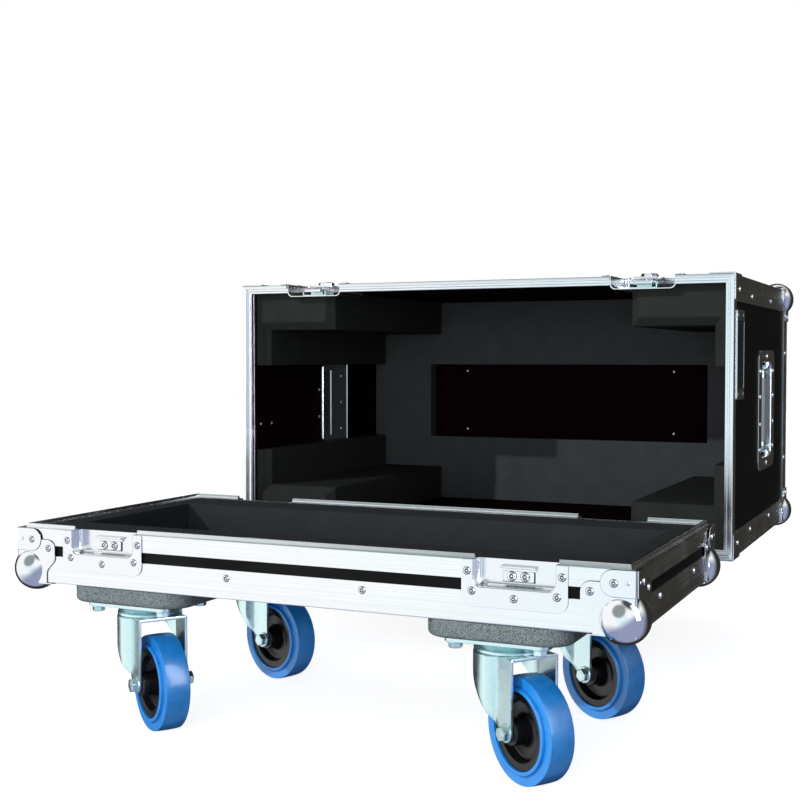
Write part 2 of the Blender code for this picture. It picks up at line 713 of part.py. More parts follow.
def make_latches(hood_pivot):
    """Dish, butterfly wing and hook at each latch on the hood."""
    dish_mesh = latch_dish_pattern()
    wing_mesh = latch_wing_pattern()
    hook_mesh = latch_hook_pattern()
    for name, x, y, turn in dish_places():
        pieces = [place(f"latch_dish_{name}", dish_mesh, (x, y, MOUTH), turn),
                  place(f"latch_wing_{name}", wing_mesh, (x, y, MOUTH + LATCH_PIVOT_HEIGHT), turn),
                  place(f"latch_hook_{name}", hook_mesh, (x, y, MOUTH), turn)]
        for piece in pieces:
            finish(piece, ZINC)
            carry(piece, hood_pivot)


def hood_wall_windows(name, half_width, high_z, depth):
    """Blocks that open the hood's front and rear walls at the four latches."""
    for place_name, x, y, _ in dish_places():
        inward = 1 if y == FRONT else -1
        y_span = sorted((y - inward * OVERSHOOT, y + inward * depth))
        yield box(f"{name}_{place_name}", (x - half_width, y_span[0], MOUTH - OVERSHOOT),
                  (x + half_width, y_span[1], high_z))


def make_hood_panel(hood_pivot):
    """Plywood walls and crown of the hood."""
    panel = inset_block("hood_panel", PANEL_INSET, MOUTH + MOUTH_WEB + FIT, CROWN - PANEL_INSET)
    cut(panel, inset_block("hood_hollow", PANEL_INNER, MOUTH - OVERSHOOT, CROWN - PANEL_INNER))
    window_half = LATCH_CUTOUT_WIDTH / 2 + DISH_SHEET + FIT
    window_top = MOUTH + LATCH_CUTOUT_HEIGHT + DISH_SHEET + FIT
    cut(panel, *hood_wall_windows("latch_window", window_half, window_top, PANEL_INNER + OVERSHOOT))
    handle_height = MOUTH + HANDLE_ABOVE_MOUTH
    half_length = HANDLE_RECESS_LENGTH / 2 + HANDLE_SHEET + FIT
    half_height = HANDLE_RECESS_HEIGHT / 2 + HANDLE_SHEET + FIT
    through = HALF_WIDTH + OVERSHOOT
    cut(panel, box("handle_windows", (-through, MIDDLE - half_length, handle_height - half_height),
                   (through, MIDDLE + half_length, handle_height + half_height)))
    carry(panel, hood_pivot)
    return finish(panel, LAMINATE)


def make_hood_angles(hood_pivot):
    """Angle section on the hood's four upright and four crown edges."""
    start = MOUTH + MOUTH_RAIL_LEG + FIT
    open_x = HALF_WIDTH - HOOD_ANGLE_FACE
    open_y = (FRONT + HOOD_ANGLE_FACE, REAR - HOOD_ANGLE_FACE)
    angles = inset_block("hood_angles", 0, start, CROWN)
    cut(angles, inset_block("angles_hollow", METAL, start - OVERSHOOT, CROWN - METAL))
    cut(angles, box("front_and_rear_open", (-open_x, FRONT - OVERSHOOT, start - OVERSHOOT),
                    (open_x, REAR + OVERSHOOT, CROWN - HOOD_ANGLE_FACE)))
    cut(angles, box("sides_open", (-HALF_WIDTH - OVERSHOOT, open_y[0], start - OVERSHOOT),
                    (HALF_WIDTH + OVERSHOOT, open_y[1], CROWN - HOOD_ANGLE_FACE)))
    cut(angles, box("crown_open", (-open_x, open_y[0], MOUTH), (open_x, open_y[1], CROWN + OVERSHOOT)))
    carry(angles, hood_pivot)
    return finish(angles, ALUMINIUM)


def mouth_rail_ring(name):
    """The whole stepped rim round the mouth; each rail keeps its own stretch of it."""
    top = MOUTH + MOUTH_RAIL_LEG
    ring = inset_block(name, 0, MOUTH, top)
    cut(ring, band_cutter(f"{name}_slot", METAL, RIM_SLOT_END, MOUTH + MOUTH_WEB, top + OVERSHOOT))
    cut(ring, inset_block(f"{name}_rebate", REBATE_EDGE, MOUTH - OVERSHOOT, MOUTH + REBATE_HEIGHT))
    cut(ring, inset_block(f"{name}_opening", RIM_INNER, MOUTH - OVERSHOOT, top + OVERSHOOT))
    return ring


def mouth_brace(name, side, y, inward):
    """Corner plate round an upright edge, fused to the rail and lapping the edge angle above it."""
    outer = FIT + METAL
    x_span = sorted((side * (HALF_WIDTH + outer), side * (HALF_WIDTH - BRACE_WIDTH)))
    y_span = sorted((y - inward * outer, y + inward * BRACE_WIDTH))
    brace = box(name, (x_span[0], y_span[0], MOUTH + METAL), (x_span[1], y_span[1], MOUTH + BRACE_LENGTH))
    seam = MOUTH + MOUTH_RAIL_LEG - BRACE_LAP
    cut(brace, inset_block(f"{name}_lap", BRACE_LAP, MOUTH - OVERSHOOT, seam + FIT))
    cut(brace, inset_block(f"{name}_clear", -FIT, seam, CROWN))
    return brace


def make_mouth_rails(hood_pivot):
    """Four rails: the left and right ones run round the corners, the others lie between the latches."""
    notch_half = LATCH_CUTOUT_WIDTH / 2 + DISH_SHEET + FIT
    latch_x = HALF_WIDTH - DISH_CENTRE
    low_z, high_z = MOUTH - OVERSHOOT, MOUTH + MOUTH_RAIL_LEG + OVERSHOOT
    y_low, y_high = FRONT - OVERSHOOT, REAR + OVERSHOOT
    outer_x = HALF_WIDTH + OVERSHOOT
    stretches = {
        "left": ((-outer_x, y_low, low_z), (-latch_x - notch_half, y_high, high_z)),
        "right": ((latch_x + notch_half, y_low, low_z), (outer_x, y_high, high_z)),
        "front": ((-latch_x + notch_half, y_low, low_z), (latch_x - notch_half, MIDDLE, high_z)),
        "rear": ((-latch_x + notch_half, MIDDLE, low_z), (latch_x - notch_half, y_high, high_z)),
    }
    for name, (low, high) in stretches.items():
        rail = mouth_rail_ring(f"mouth_rail_{name}")
        keep(rail, box(f"{name}_stretch", low, high))
        if name in ("left", "right"):
            side = -1 if name == "left" else 1
            join(rail, mouth_brace(f"{name}_front_brace", side, FRONT, 1))
            join(rail, mouth_brace(f"{name}_rear_brace", side, REAR, -1))
        carry(rail, hood_pivot)
        finish(rail, ALUMINIUM)


def make_hood_foam(hood_pivot):
    """Foam lining: four corner blocks with side pads, on a crown pad with a window."""
    start = MOUTH + HOOD_FOAM_START
    face = CROWN - PANEL_INNER - FIT - CROWN_FOAM_THICKNESS
    low = start - OVERSHOOT
    block_x = HALF_WIDTH - CORNER_FOAM_REACH
    pad_x = HALF_WIDTH - SIDE_FOAM_FACE
    block_y = CASE_DEPTH / 2 - CORNER_FOAM_DEPTH
    foam = inset_block("hood_foam", PANEL_INNER + FIT, start, CROWN - PANEL_INNER - FIT)
    cut(foam, box("between_blocks", (-block_x, FRONT - OVERSHOOT, low), (block_x, REAR + OVERSHOOT, face)))
    cut(foam, box("between_pads", (-pad_x, MIDDLE - block_y, low), (pad_x, MIDDLE + block_y, face)))
    cut(foam, box("bare_sides", (-HALF_WIDTH, MIDDLE - BARE_BAND / 2, low),
                  (HALF_WIDTH, MIDDLE + BARE_BAND / 2, face)))
    cut(foam, box("crown_window", (-HALF_WIDTH + CROWN_WINDOW_END, MIDDLE - CROWN_WINDOW_HEIGHT / 2, low),
                  (HALF_WIDTH - CROWN_WINDOW_END, MIDDLE + CROWN_WINDOW_HEIGHT / 2, CROWN)))
    for name, x, y in (("block", block_x, HALF_WIDTH), ("pad", pad_x, block_y)):
        low_corner = (-x - 2 * FOAM_CHAMFER, MIDDLE - y - 2 * FOAM_CHAMFER, start - FOAM_CHAMFER)
        high_corner = (x + 2 * FOAM_CHAMFER, MIDDLE + y + 2 * FOAM_CHAMFER, start + FOAM_CHAMFER)
        cut(foam, box(f"{name}_chamfer", low_corner, high_corner, 2 * FOAM_CHAMFER))
    relief_half = LATCH_CUTOUT_WIDTH / 2 + DISH_SHEET + 2 * FIT
    relief_top = MOUTH + LATCH_CUTOUT_HEIGHT + DISH_SHEET + 2 * FIT
    cut(foam, *hood_wall_windows("latch_relief", relief_half, relief_top, LATCH_DEPTH + DISH_SHEET + FIT))
    handle_x = HALF_WIDTH - PANEL_INSET - HANDLE_RECESS_DEPTH - HANDLE_SHEET - FIT
    handle_y = HANDLE_RECESS_LENGTH / 2 + HANDLE_SHEET + 2 * FIT
    handle_z = HANDLE_RECESS_HEIGHT / 2 + HANDLE_SHEET + 2 * FIT
    handle_height = MOUTH + HANDLE_ABOVE_MOUTH
    for side in (-1, 1):
        x_span = sorted((side * handle_x, side * HALF_WIDTH))
        cut(foam, box("handle_relief", (x_span[0], MIDDLE - handle_y, handle_height - handle_z),
                      (x_span[1], MIDDLE + handle_y, handle_height + handle_z)))
    carry(foam, hood_pivot)
    return finish(foam, FOAM)


def handle_dish_pattern():
    """Recessed handle dish with a lug at each end of the pivot. Its origin lies on the panel's face."""
    flange = rounded_rectangle(HANDLE_FLANGE_LENGTH, HANDLE_FLANGE_HEIGHT, HANDLE_FLANGE_CORNER)
    recess = rounded_rectangle(HANDLE_RECESS_LENGTH, HANDLE_RECESS_HEIGHT, HANDLE_RECESS_CORNER)
    shell = rounded_rectangle(HANDLE_RECESS_LENGTH + 2 * HANDLE_SHEET,
                              HANDLE_RECESS_HEIGHT + 2 * HANDLE_SHEET,
                              HANDLE_RECESS_CORNER + HANDLE_SHEET)
    dish = prism("handle_dish", flange, -FIT - HANDLE_SHEET, -FIT, "Y")
    shell_end = HANDLE_RECESS_DEPTH + HANDLE_SHEET
    join(dish, prism("recess_shell", shell, -FIT - HANDLE_SHEET / 2, shell_end, "Y"))
    cut(dish, prism("recess", recess, -OVERSHOOT, HANDLE_RECESS_DEPTH, "Y"))
    bore = HANDLE_ROD_RADIUS + 2 * FIT
    lug_half = bore + HANDLE_LUG_WALL
    end = HANDLE_RECESS_LENGTH / 2
    for side in (-1, 1):
        x_span = sorted((side * (end - HANDLE_LUG_LENGTH), side * (end + HANDLE_SHEET / 2)))
        join(dish, box("lug", (x_span[0], HANDLE_ROD_DEPTH - lug_half, HANDLE_PIVOT_RISE - lug_half),
                       (x_span[1], HANDLE_RECESS_DEPTH + HANDLE_SHEET / 2, HANDLE_PIVOT_RISE + lug_half)))
    cut(dish, cylinder("pivot_bore", bore, -end, end, (0, HANDLE_ROD_DEPTH, HANDLE_PIVOT_RISE), "X", 16))
    return pattern(dish)


def handle_bail_pattern():
    """Bent steel rod with an oval grip, its origin on the pivot axis."""
    end = HANDLE_RECESS_LENGTH / 2 - FIT
    bend = HANDLE_ROD_BEND
    arm = HANDLE_RECESS_LENGTH / 2 - HANDLE_LUG_LENGTH - FIT - bend - HANDLE_ROD_RADIUS / 2
    drop = HANDLE_PIVOT_RISE + GRIP_DROP
    half_path = [(end, 0), (arm + bend, 0), (arm, -bend), (arm, -drop + bend), (arm - bend, -drop)]
    curve = bpy.data.curves.new("rod", "CURVE")
    curve.dimensions = "3D"
    curve.bevel_depth = HANDLE_ROD_RADIUS
    curve.bevel_resolution = 2
    curve.use_fill_caps = True
    spline = curve.splines.new("POLY")
    path = half_path + [(-x, z) for x, z in reversed(half_path)]
    spline.points.add(len(path) - 1)
    for point, (x, z) in zip(spline.points, path):
        point.co = (x, 0, z, 1)
    rod_curve = bpy.data.objects.new("handle_bail", curve)
    PARTS.objects.link(rod_curve)
    rod = solid_from_curve(rod_curve)
    oval = rounded_rectangle(GRIP_THICKNESS, GRIP_WIDTH, 0.95 * GRIP_THICKNESS / 2, (0, -drop), 3)
    grip = prism("grip", oval, -GRIP_LENGTH / 2, GRIP_LENGTH / 2, "X")
    join(rod, grip)
    return pattern(rod)


def make_handles(hood_pivot):
    """A recessed bail handle in each side wall of the hood."""
    dish_mesh = handle_dish_pattern()
    bail_mesh = handle_bail_pattern()
    for name, side in (("left", -1), ("right", 1)):
        face = side * (HALF_WIDTH - PANEL_INSET)
        turn = side * math.pi / 2
        height = MOUTH + HANDLE_ABOVE_MOUTH
        dish = place(f"handle_dish_{name}", dish_mesh, (face, MIDDLE, height), turn)
        bail_x = face - side * HANDLE_ROD_DEPTH
        bail = place(f"handle_bail_{name}", bail_mesh, (bail_x, MIDDLE, height + HANDLE_PIVOT_RISE), turn)
        for piece in (dish, bail):
            finish(piece, ZINC)
            carry(piece, hood_pivot)


def make_label(hood_pivot):
    """Bare label plate on the right wall beside the mouth, its middle field sunk."""
    face = HALF_WIDTH - PANEL_INSET + FIT
    low = Vector((face, FRONT + LABEL_FRONT, MOUTH + LABEL_START))
    high = Vector((HALF_WIDTH + LABEL_PROUD, low.y + LABEL_LENGTH, low.z + LABEL_HEIGHT))
    label = box("label_plate", low, high)
    cut(label, box("label_field",
                   (high.x - LABEL_FIELD_SINK, low.y + LABEL_FIELD_BORDER, low.z + LABEL_FIELD_MARGIN),
                   (high.x + OVERSHOOT, high.y - LABEL_FIELD_BORDER, high.z - LABEL_FIELD_MARGIN)))
    carry(label, hood_pivot)
    return finish(label, LABEL)


def board_pattern():
    """Wooden pad with round corners under the tray, which spreads the castor's load."""
    outline = rounded_rectangle(BOARD_WIDTH, BOARD_DEPTH, BOARD_CORNER, steps=5)
    board = prism("castor_board", outline, BOARD_BOTTOM, BOARD_TOP)
    round_edges(board, BOARD_EDGE, 2)
    return pattern(board)


def top_plate_pattern():
    """Castor top plate with its four bolts, bearing race, kingpin and nut."""
    outline = rounded_rectangle(TOP_PLATE_WIDTH, TOP_PLATE_DEPTH, TOP_PLATE_CORNER)
    plate = prism("castor_plate", outline, TOP_PLATE_BOTTOM, TOP_PLATE_TOP)
    buried = TOP_PLATE_BOTTOM + TOP_PLATE_THICKNESS / 2
    waist = TOP_PLATE_BOTTOM - RACE_HEIGHT / 3
    race = [(0, buried), (0.9 * RACE_RADIUS, buried), (0.9 * RACE_RADIUS, TOP_PLATE_BOTTOM),
            (RACE_RADIUS, waist), (0.93 * RACE_RADIUS, waist - RACE_HEIGHT / 3),
            (0.7 * RACE_RADIUS, RACE_BOTTOM), (0, RACE_BOTTOM)]
    join(plate, turned("race", race, 16, closed=False))
    bolt_bottom = TOP_PLATE_BOTTOM - PLATE_BOLT_HEIGHT
    for x_side in (-1, 1):
        for y_side in (-1, 1):
            centre = (x_side * PLATE_BOLT_X, y_side * PLATE_BOLT_Y, 0)
            join(plate, cylinder("plate_bolt", PLATE_BOLT_RADIUS, bolt_bottom, buried, centre, "Z", 6))
    nut_top = FORK_CROWN_UNDERSIDE - FIT
    nut_bottom = nut_top - KINGPIN_NUT_HEIGHT
    join(plate, cylinder("kingpin", KINGPIN_RADIUS, nut_bottom - METAL, RACE_BOTTOM + METAL,
                         (0, 0, 0), "Z", 12))
    join(plate, cylinder("kingpin_nut", KINGPIN_NUT_RADIUS, nut_bottom, nut_top, (0, 0, 0), "Z", 6))
    return pattern(plate)


def fork_side_outline():
    """Side view of a fork leg, (y, z) with the trail towards -Y: straight in front, swept behind."""
    foot = arc((FORK_FOOT_SET - CASTOR_TRAIL, AXLE_HEIGHT), FORK_FOOT_RADIUS, 180, 290, 4)
    sweep = arc((FORK_HEEL - FORK_SWEEP, FORK_TOP), FORK_SWEEP, -64, 0, 5)
    return [(-FORK_FRONT, FORK_TOP), *foot, *sweep]


def fork_pattern():
    """Folded fork: a crown and two legs, with its hexagon axle bolt and washers."""
    half = FORK_WIDTH / 2
    inner = half - FORK_SHEET
    inner_bend = FORK_BEND - FORK_SHEET
    low = AXLE_HEIGHT - 2 * FORK_FOOT_RADIUS
    bend_z = FORK_TOP - FORK_BEND
    section = [(half, low)] + arc((half - FORK_BEND, bend_z), FORK_BEND, 0, 90, 4)
    section += arc((-half + FORK_BEND, bend_z), FORK_BEND, 90, 180, 4) + [(-half, low), (-inner, low)]
    section += arc((-inner + inner_bend, bend_z), inner_bend, 180, 90, 3)
    section += arc((inner - inner_bend, bend_z), inner_bend, 90, 0, 3) + [(inner, low)]
    fork = prism("castor_fork", fork_side_outline(), -half - METAL, half + METAL, "X")
    keep(fork, prism("folded_section", section, -FORK_TOP, FORK_TOP, "Y"))
    cut(fork, cylinder("kingpin_hole", KINGPIN_RADIUS + FIT, low, FORK_TOP + OVERSHOOT, (0, 0, 0), "Z", 12))
    axle = (0, -CASTOR_TRAIL, AXLE_HEIGHT)
    head_start = AXLE_SPAN / 2 - AXLE_HEAD_HEIGHT
    join(fork, cylinder("axle", AXLE_RADIUS, -head_start - METAL, head_start + METAL, axle, "X", 12))
    for side in (-1, 1):
        washer = sorted((side * (half - METAL / 2), side * (head_start + METAL / 2)))
        head = sorted((side * head_start, side * AXLE_SPAN / 2))
        join(fork, cylinder("washer", WASHER_RADIUS, *washer, axle, "X", 12))
        join(fork, cylinder("axle_head", AXLE_HEAD_RADIUS, *head, axle, "X", 6))
    return pattern(fork)


def mirrored_profile(upper):
    """A closed profile from its half above the middle plane, outer side first."""
    return upper + [(radius, -height) for radius, height in reversed(upper)]


def hub_pattern():
    """Wheel hub: bored boss between the fork legs, web and rim, turned round Z."""
    bore = AXLE_RADIUS + FIT
    boss_half = FORK_WIDTH / 2 - FORK_SHEET - FIT
    rim_inner = HUB_RADIUS - HUB_RIM
    upper = [(bore, boss_half), (BOSS_RADIUS, boss_half), (1.1 * BOSS_RADIUS, HUB_WEB / 2),
             (rim_inner - METAL, HUB_WEB / 2), (rim_inner, HUB_WIDTH / 2), (HUB_RADIUS, HUB_WIDTH / 2)]
    return pattern(turned("castor_hub", mirrored_profile(upper), 20))


def tyre_pattern():
    """Rubber tyre with a raised bead beside the hub and a rounded shoulder, turned round Z."""
    inner = HUB_RADIUS + FIT
    bead = inner + TYRE_BEAD
    side = TYRE_WIDTH / 2
    upper = [(inner, TYRE_BEAD_WIDTH / 2), (bead, TYRE_BEAD_WIDTH / 2), (bead + METAL, side + FIT),
             (WHEEL_RADIUS - TYRE_SHOULDER, side),
             (WHEEL_RADIUS - 0.3 * TYRE_SHOULDER, side - 0.3 * TYRE_SHOULDER),
             (WHEEL_RADIUS, side - TYRE_SHOULDER)]
    return pattern(turned("castor_tyre", mirrored_profile(upper), 30))


def make_castors():
    """Four swivel castors, each fork on its own swivel axis and each wheel on its axle."""
    board_mesh, plate_mesh, fork_mesh = board_pattern(), top_plate_pattern(), fork_pattern()
    hub_mesh, tyre_mesh = hub_pattern(), tyre_pattern()
    lay_on_axle = Matrix.Rotation(math.pi / 2, 4, "Y")
    for mesh in (hub_mesh, tyre_mesh):
        mesh.transform(lay_on_axle)
    for name, corner_x, corner_y, _ in corner_places():
        x = corner_x - math.copysign(CASTOR_SIDE_INSET, corner_x)
        y = corner_y + (CASTOR_END_INSET if corner_y == FRONT else -CASTOR_END_INSET)
        finish(place(f"castor_board_{name}", board_mesh, (x, y, 0)), BOARD)
        finish(place(f"castor_plate_{name}", plate_mesh, (x, y, 0)), ZINC)
        turn = math.radians(CASTOR_ANGLES[name])
        swivel = empty(f"castor_swivel_{name}", (x, y, 0), turn)
        trail = Vector((math.sin(turn), -math.cos(turn), 0)) * CASTOR_TRAIL
        axle = Vector((x, y, AXLE_HEIGHT)) + trail
        for piece in (finish(place(f"castor_fork_{name}", fork_mesh, (x, y, 0), turn), ZINC),
                      finish(place(f"castor_hub_{name}", hub_mesh, axle, turn), HUB_PLASTIC),
                      finish(place(f"castor_tyre_{name}", tyre_mesh, axle, turn), TYRE)):
            carry(piece, swivel)


def build_case():
    """Makes every part, then lays the hood down behind the tray."""
    hood_pivot = empty("hood_pivot", HOOD_PIVOT)
    make_tray_panel()
    make_lower_angle()
    make_tray_rim()
    make_tray_foam()
    make_keepers()
    make_castors()
    make_corners(hood_pivot)
    make_hood_panel(hood_pivot)
    make_hood_angles(hood_pivot)
    make_mouth_rails(hood_pivot)
    make_hood_foam(hood_pivot)
    make_latches(hood_pivot)
    make_handles(hood_pivot)
    make_label(hood_pivot)
    hood_pivot.rotation_euler.x = HOOD_LAID_DOWN
    bpy.context.view_layer.update()


build_case()
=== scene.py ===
"""An opened flight case for a guitar amplifier head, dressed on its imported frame.

The tray stands on four blue castors and the hood lies behind it with its mouth towards the tray.
Sizes are in millimetres in the frame's own axes: the floor is z = 0, the tray is in front at -Y.
`piece` turns them into the scene's metres, and so do the materials.
Pieces of the hood are made upright, as on the closed case, and the HOOD matrix lays them down.
Wall fittings are made for a front wall: X runs along the wall, -Y points out of it, +Z is up.
"""

import json
import math

import bmesh
import bpy
from mathutils import Matrix, Vector


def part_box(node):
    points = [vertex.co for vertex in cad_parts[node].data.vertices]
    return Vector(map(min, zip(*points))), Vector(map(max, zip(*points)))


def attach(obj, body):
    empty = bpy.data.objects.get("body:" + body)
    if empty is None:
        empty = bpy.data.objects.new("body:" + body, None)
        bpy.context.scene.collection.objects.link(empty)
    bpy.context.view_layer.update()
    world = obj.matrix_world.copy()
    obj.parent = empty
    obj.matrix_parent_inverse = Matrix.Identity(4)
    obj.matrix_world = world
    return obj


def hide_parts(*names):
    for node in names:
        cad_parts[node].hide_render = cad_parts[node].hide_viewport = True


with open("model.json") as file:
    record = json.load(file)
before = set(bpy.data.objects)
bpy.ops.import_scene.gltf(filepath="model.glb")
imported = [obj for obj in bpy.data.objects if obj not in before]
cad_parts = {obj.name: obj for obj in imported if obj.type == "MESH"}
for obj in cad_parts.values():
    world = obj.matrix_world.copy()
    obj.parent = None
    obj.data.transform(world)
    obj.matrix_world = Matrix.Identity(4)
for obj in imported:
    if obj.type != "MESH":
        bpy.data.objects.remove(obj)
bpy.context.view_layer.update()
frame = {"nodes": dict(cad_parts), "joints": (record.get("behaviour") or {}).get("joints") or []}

MM = 0.001

# The case's own planes in millimetres, read from the frame
TRAY_LOW, TRAY_HIGH = [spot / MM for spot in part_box("tray_lower_angle")]
HALF_WIDTH, FRONT, REAR = TRAY_HIGH.x, TRAY_LOW.y, TRAY_HIGH.y
UNDERSIDE, LOWER_TOP = TRAY_LOW.z, TRAY_HIGH.z
DEPTH = REAR - FRONT
MIDDLE = (FRONT + REAR) / 2
TONGUE = 3.9
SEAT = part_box("tray_rim")[1].z / MM - TONGUE
MOUTH_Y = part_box("mouth_rail_front")[0].y / MM
HOOD_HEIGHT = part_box("hood_angles")[1].y / MM - MOUTH_Y
HOOD = Matrix.Translation((0, MOUTH_Y, UNDERSIDE + REAR)) @ Matrix.Rotation(-math.pi / 2, 4, "X")
FIT = 0.3

# Sizes that the tray and the hood share
METAL = 1.5
PANEL_INNER = 8.8
RIM_FACE = 17.9
RIM_INNER = 10.6
RAIL_LEG = 17.0
ANGLE_FACE = 32.0
DISH_CENTRE = HALF_WIDTH - 110.1
NOTCH_HALF = 40.0

PLACES = ("front_left", "front_right", "rear_right", "rear_left")


# Materials

def linear(code, alpha=1.0):
    """An sRGB hex colour as linear values."""
    channels = [int(code[i:i + 2], 16) / 255 for i in (1, 3, 5)]
    return (*[c / 12.92 if c <= 0.04045 else ((c + 0.055) / 1.055) ** 2.4 for c in channels], alpha)


def add_node(tree, kind, inputs=None, **settings):
    """Adds a node with its settings; an input is a value or the socket that feeds it."""
    node = tree.nodes.new(kind)
    for key, value in settings.items():
        setattr(node, key, value)
    for key, value in (inputs or {}).items():
        if isinstance(value, bpy.types.NodeSocket):
            tree.links.new(value, node.inputs[key])
        else:
            node.inputs[key].default_value = value
    return node


def surface(name, colour, metallic, roughness, **sockets):
    """A Principled material with its fixed values, and its tree, shader and object coordinates."""
    made = bpy.data.materials.new(name)
    made.use_nodes = True
    tree = made.node_tree
    shader = tree.nodes["Principled BSDF"]
    fixed = {"Base Color": linear(colour), "Metallic": metallic, "Roughness": roughness, **sockets}
    for key, value in fixed.items():
        shader.inputs[key].default_value = value
    return made, tree, shader, add_node(tree, "ShaderNodeTexCoord").outputs["Object"]


def noise(tree, place, size, detail=3.0, rough=0.55, stretch=(1, 1, 1)):
    """A noise whose features are about `size` millimetres across, drawn out by `stretch`."""
    scale = [1 / (size * MM * s) for s in stretch]
    scaled = add_node(tree, "ShaderNodeMapping", {"Vector": place, "Scale": scale}).outputs["Vector"]
    settings = {"Vector": scaled, "Scale": 1.0, "Detail": detail, "Roughness": rough}
    return add_node(tree, "ShaderNodeTexNoise", settings).outputs["Fac"]


def cells(tree, place, size, feature="F1"):
    """Cells about `size` millimetres across: the distance from each one's middle."""
    settings = {"Vector": place, "Scale": 1 / (size * MM)}
    return add_node(tree, "ShaderNodeTexVoronoi", settings, feature=feature).outputs["Distance"]


def combine(tree, operation, first, second, third=0.5):
    """Two or three numbers worked into one."""
    return add_node(tree, "ShaderNodeMath", {0: first, 1: second, 2: third}, operation=operation).outputs[0]


def ramp(tree, value, low, high, start, end):
    """Maps a value from low..high to start..end."""
    settings = {"Value": value, "From Min": low, "From Max": high, "To Min": start, "To Max": end}
    return add_node(tree, "ShaderNodeMapRange", settings).outputs["Result"]


def blend(tree, share, first, second):
    """Mixes two colours, each a value or a socket, by a share."""
    return add_node(tree, "ShaderNodeMix", {0: share, 6: first, 7: second}, data_type="RGBA").outputs[2]


def tint(tree, value, low, high, first, second):
    """Blends two colours as a value goes from low to high."""
    return blend(tree, ramp(tree, value, low, high, 0.0, 1.0), linear(first), linear(second))


def bump(tree, shader, height, strength, depth):
    """Feeds the shader a bump of a real depth in millimetres."""
    settings = {"Height": height, "Strength": strength, "Distance": depth * MM}
    tree.links.new(add_node(tree, "ShaderNodeBump", settings).outputs["Normal"], shader.inputs["Normal"])


def finish(name, colour, metallic, roughness, cloud, rough, colours=None, grain=None, relief=None,
           span=(0.3, 0.7), **sockets):
    """A finish that drifts with a cloudy noise, over a finer grain.

    `cloud` and `grain` give a noise's size in millimetres and its detail. The roughness and the colour run
    between `rough` and `colours` as the cloud goes through its `span`. `relief` is the bump's strength and
    depth.
    """
    made, tree, shader, place = surface(name, colour, metallic, roughness, **sockets)
    drift = noise(tree, place, *cloud)
    tree.links.new(ramp(tree, drift, *span, *rough), shader.inputs["Roughness"])
    if colours:
        tree.links.new(tint(tree, drift, *span, *colours), shader.inputs["Base Color"])
    if relief:
        bump(tree, shader, noise(tree, place, *grain) if grain else drift, *relief)
    return made


def plain(name, colour, metallic, roughness, grain, depth):
    """A finish with one colour, whose gloss varies a little with a fine grain of the given size."""
    return finish(name, colour, metallic, roughness, (grain, 3.0), (0.85 * roughness, 1.2 * roughness),
                  relief=(0.2, depth))


def extruded_aluminium(axis):
    """Mill-finish aluminium extrusion: silver, with die lines drawn out along the bar."""
    made, tree, shader, place = surface(f"extruded_aluminium_{axis.lower()}", "#eceff1", 1.0, 0.24)
    # Die lines are about 0.2 mm apart; drawn 1.6 mm apart, or they wouldn't show
    lines = noise(tree, place, 1.6, 1.0, 0.5, [400 if axis == letter else 1 for letter in "XYZ"])
    both = combine(tree, "MULTIPLY", lines, noise(tree, place, 45, 3.0))
    tree.links.new(ramp(tree, both, 0.12, 0.42, 0.15, 0.30), shader.inputs["Roughness"])
    tree.links.new(tint(tree, lines, 0.3, 0.7, "#e6eaec", "#f3f5f6"), shader.inputs["Base Color"])
    bump(tree, shader, lines, 0.03, 0.008)
    return made


def laminated_plywood():
    """Birch plywood: black laminate with a hammered pebble grain outside, bare dark maroon inside."""
    made, tree, shader, place = surface("laminated_plywood", "#0b0b0b", 0.0, 0.55)
    # Pebbles of the hammered laminate, 1.4 mm across
    pebbles = cells(tree, place, 1.4, "SMOOTH_F1")
    outside = tint(tree, noise(tree, place, 60, 4.0), 0.35, 0.7, "#060606", "#0e0e0e")
    seat = add_node(tree, "ShaderNodeSeparateXYZ", {"Vector": place}).outputs
    inside = 1.0
    for axis, middle, half in (("X", 0, HALF_WIDTH), ("Z", UNDERSIDE + DEPTH / 2, DEPTH / 2),
                               ("Y", MOUTH_Y + HOOD_HEIGHT / 2, HOOD_HEIGHT / 2)):
        within = combine(tree, "COMPARE", seat[axis], middle * MM, (half - PANEL_INNER + FIT) * MM)
        inside = combine(tree, "MULTIPLY", inside, within)
    tree.links.new(blend(tree, inside, outside, linear("#0c0204")), shader.inputs["Base Color"])
    tree.links.new(ramp(tree, inside, 0.0, 1.0, 0.5, 0.7), shader.inputs["Roughness"])
    tree.links.new(ramp(tree, inside, 0.0, 1.0, 0.12, 0.02), shader.inputs["Specular IOR Level"])
    bump(tree, shader, combine(tree, "ADD", pebbles, inside), 0.35, 0.25)
    return made


def closed_cell_foam(name, dark, light):
    """Charcoal polyethylene foam, skived: matt, with fine cells that catch the light."""
    made, tree, shader, place = surface(name, dark, 0.0, 1.0, **{"Specular IOR Level": 0.06})
    cloud = noise(tree, place, 30, 4.0)
    tree.links.new(tint(tree, cloud, 0.3, 0.72, dark, light), shader.inputs["Base Color"])
    # Cut cells are about 0.8 mm across
    bump(tree, shader, cells(tree, place, 0.8), 0.35, 0.18)
    return made


def coated_board():
    """Castor board under a charcoal vinyl with a leather grain; the grain's raised tops are coloured lighter
    and its hollows darker.
    """
    made, tree, shader, place = surface("coated_board", "#4a4d4f", 0.0, 0.44)
    # Leather grain cells of 0.9 mm
    both = combine(tree, "MULTIPLY", cells(tree, place, 0.9, "SMOOTH_F1"), noise(tree, place, 0.6, 3.0))
    tree.links.new(tint(tree, both, 0.10, 0.34, "#798385", "#252a2d"), shader.inputs["Base Color"])
    bump(tree, shader, both, -0.8, 0.35)
    return made


ALUMINIUM = {axis: extruded_aluminium(axis) for axis in "XYZ"}
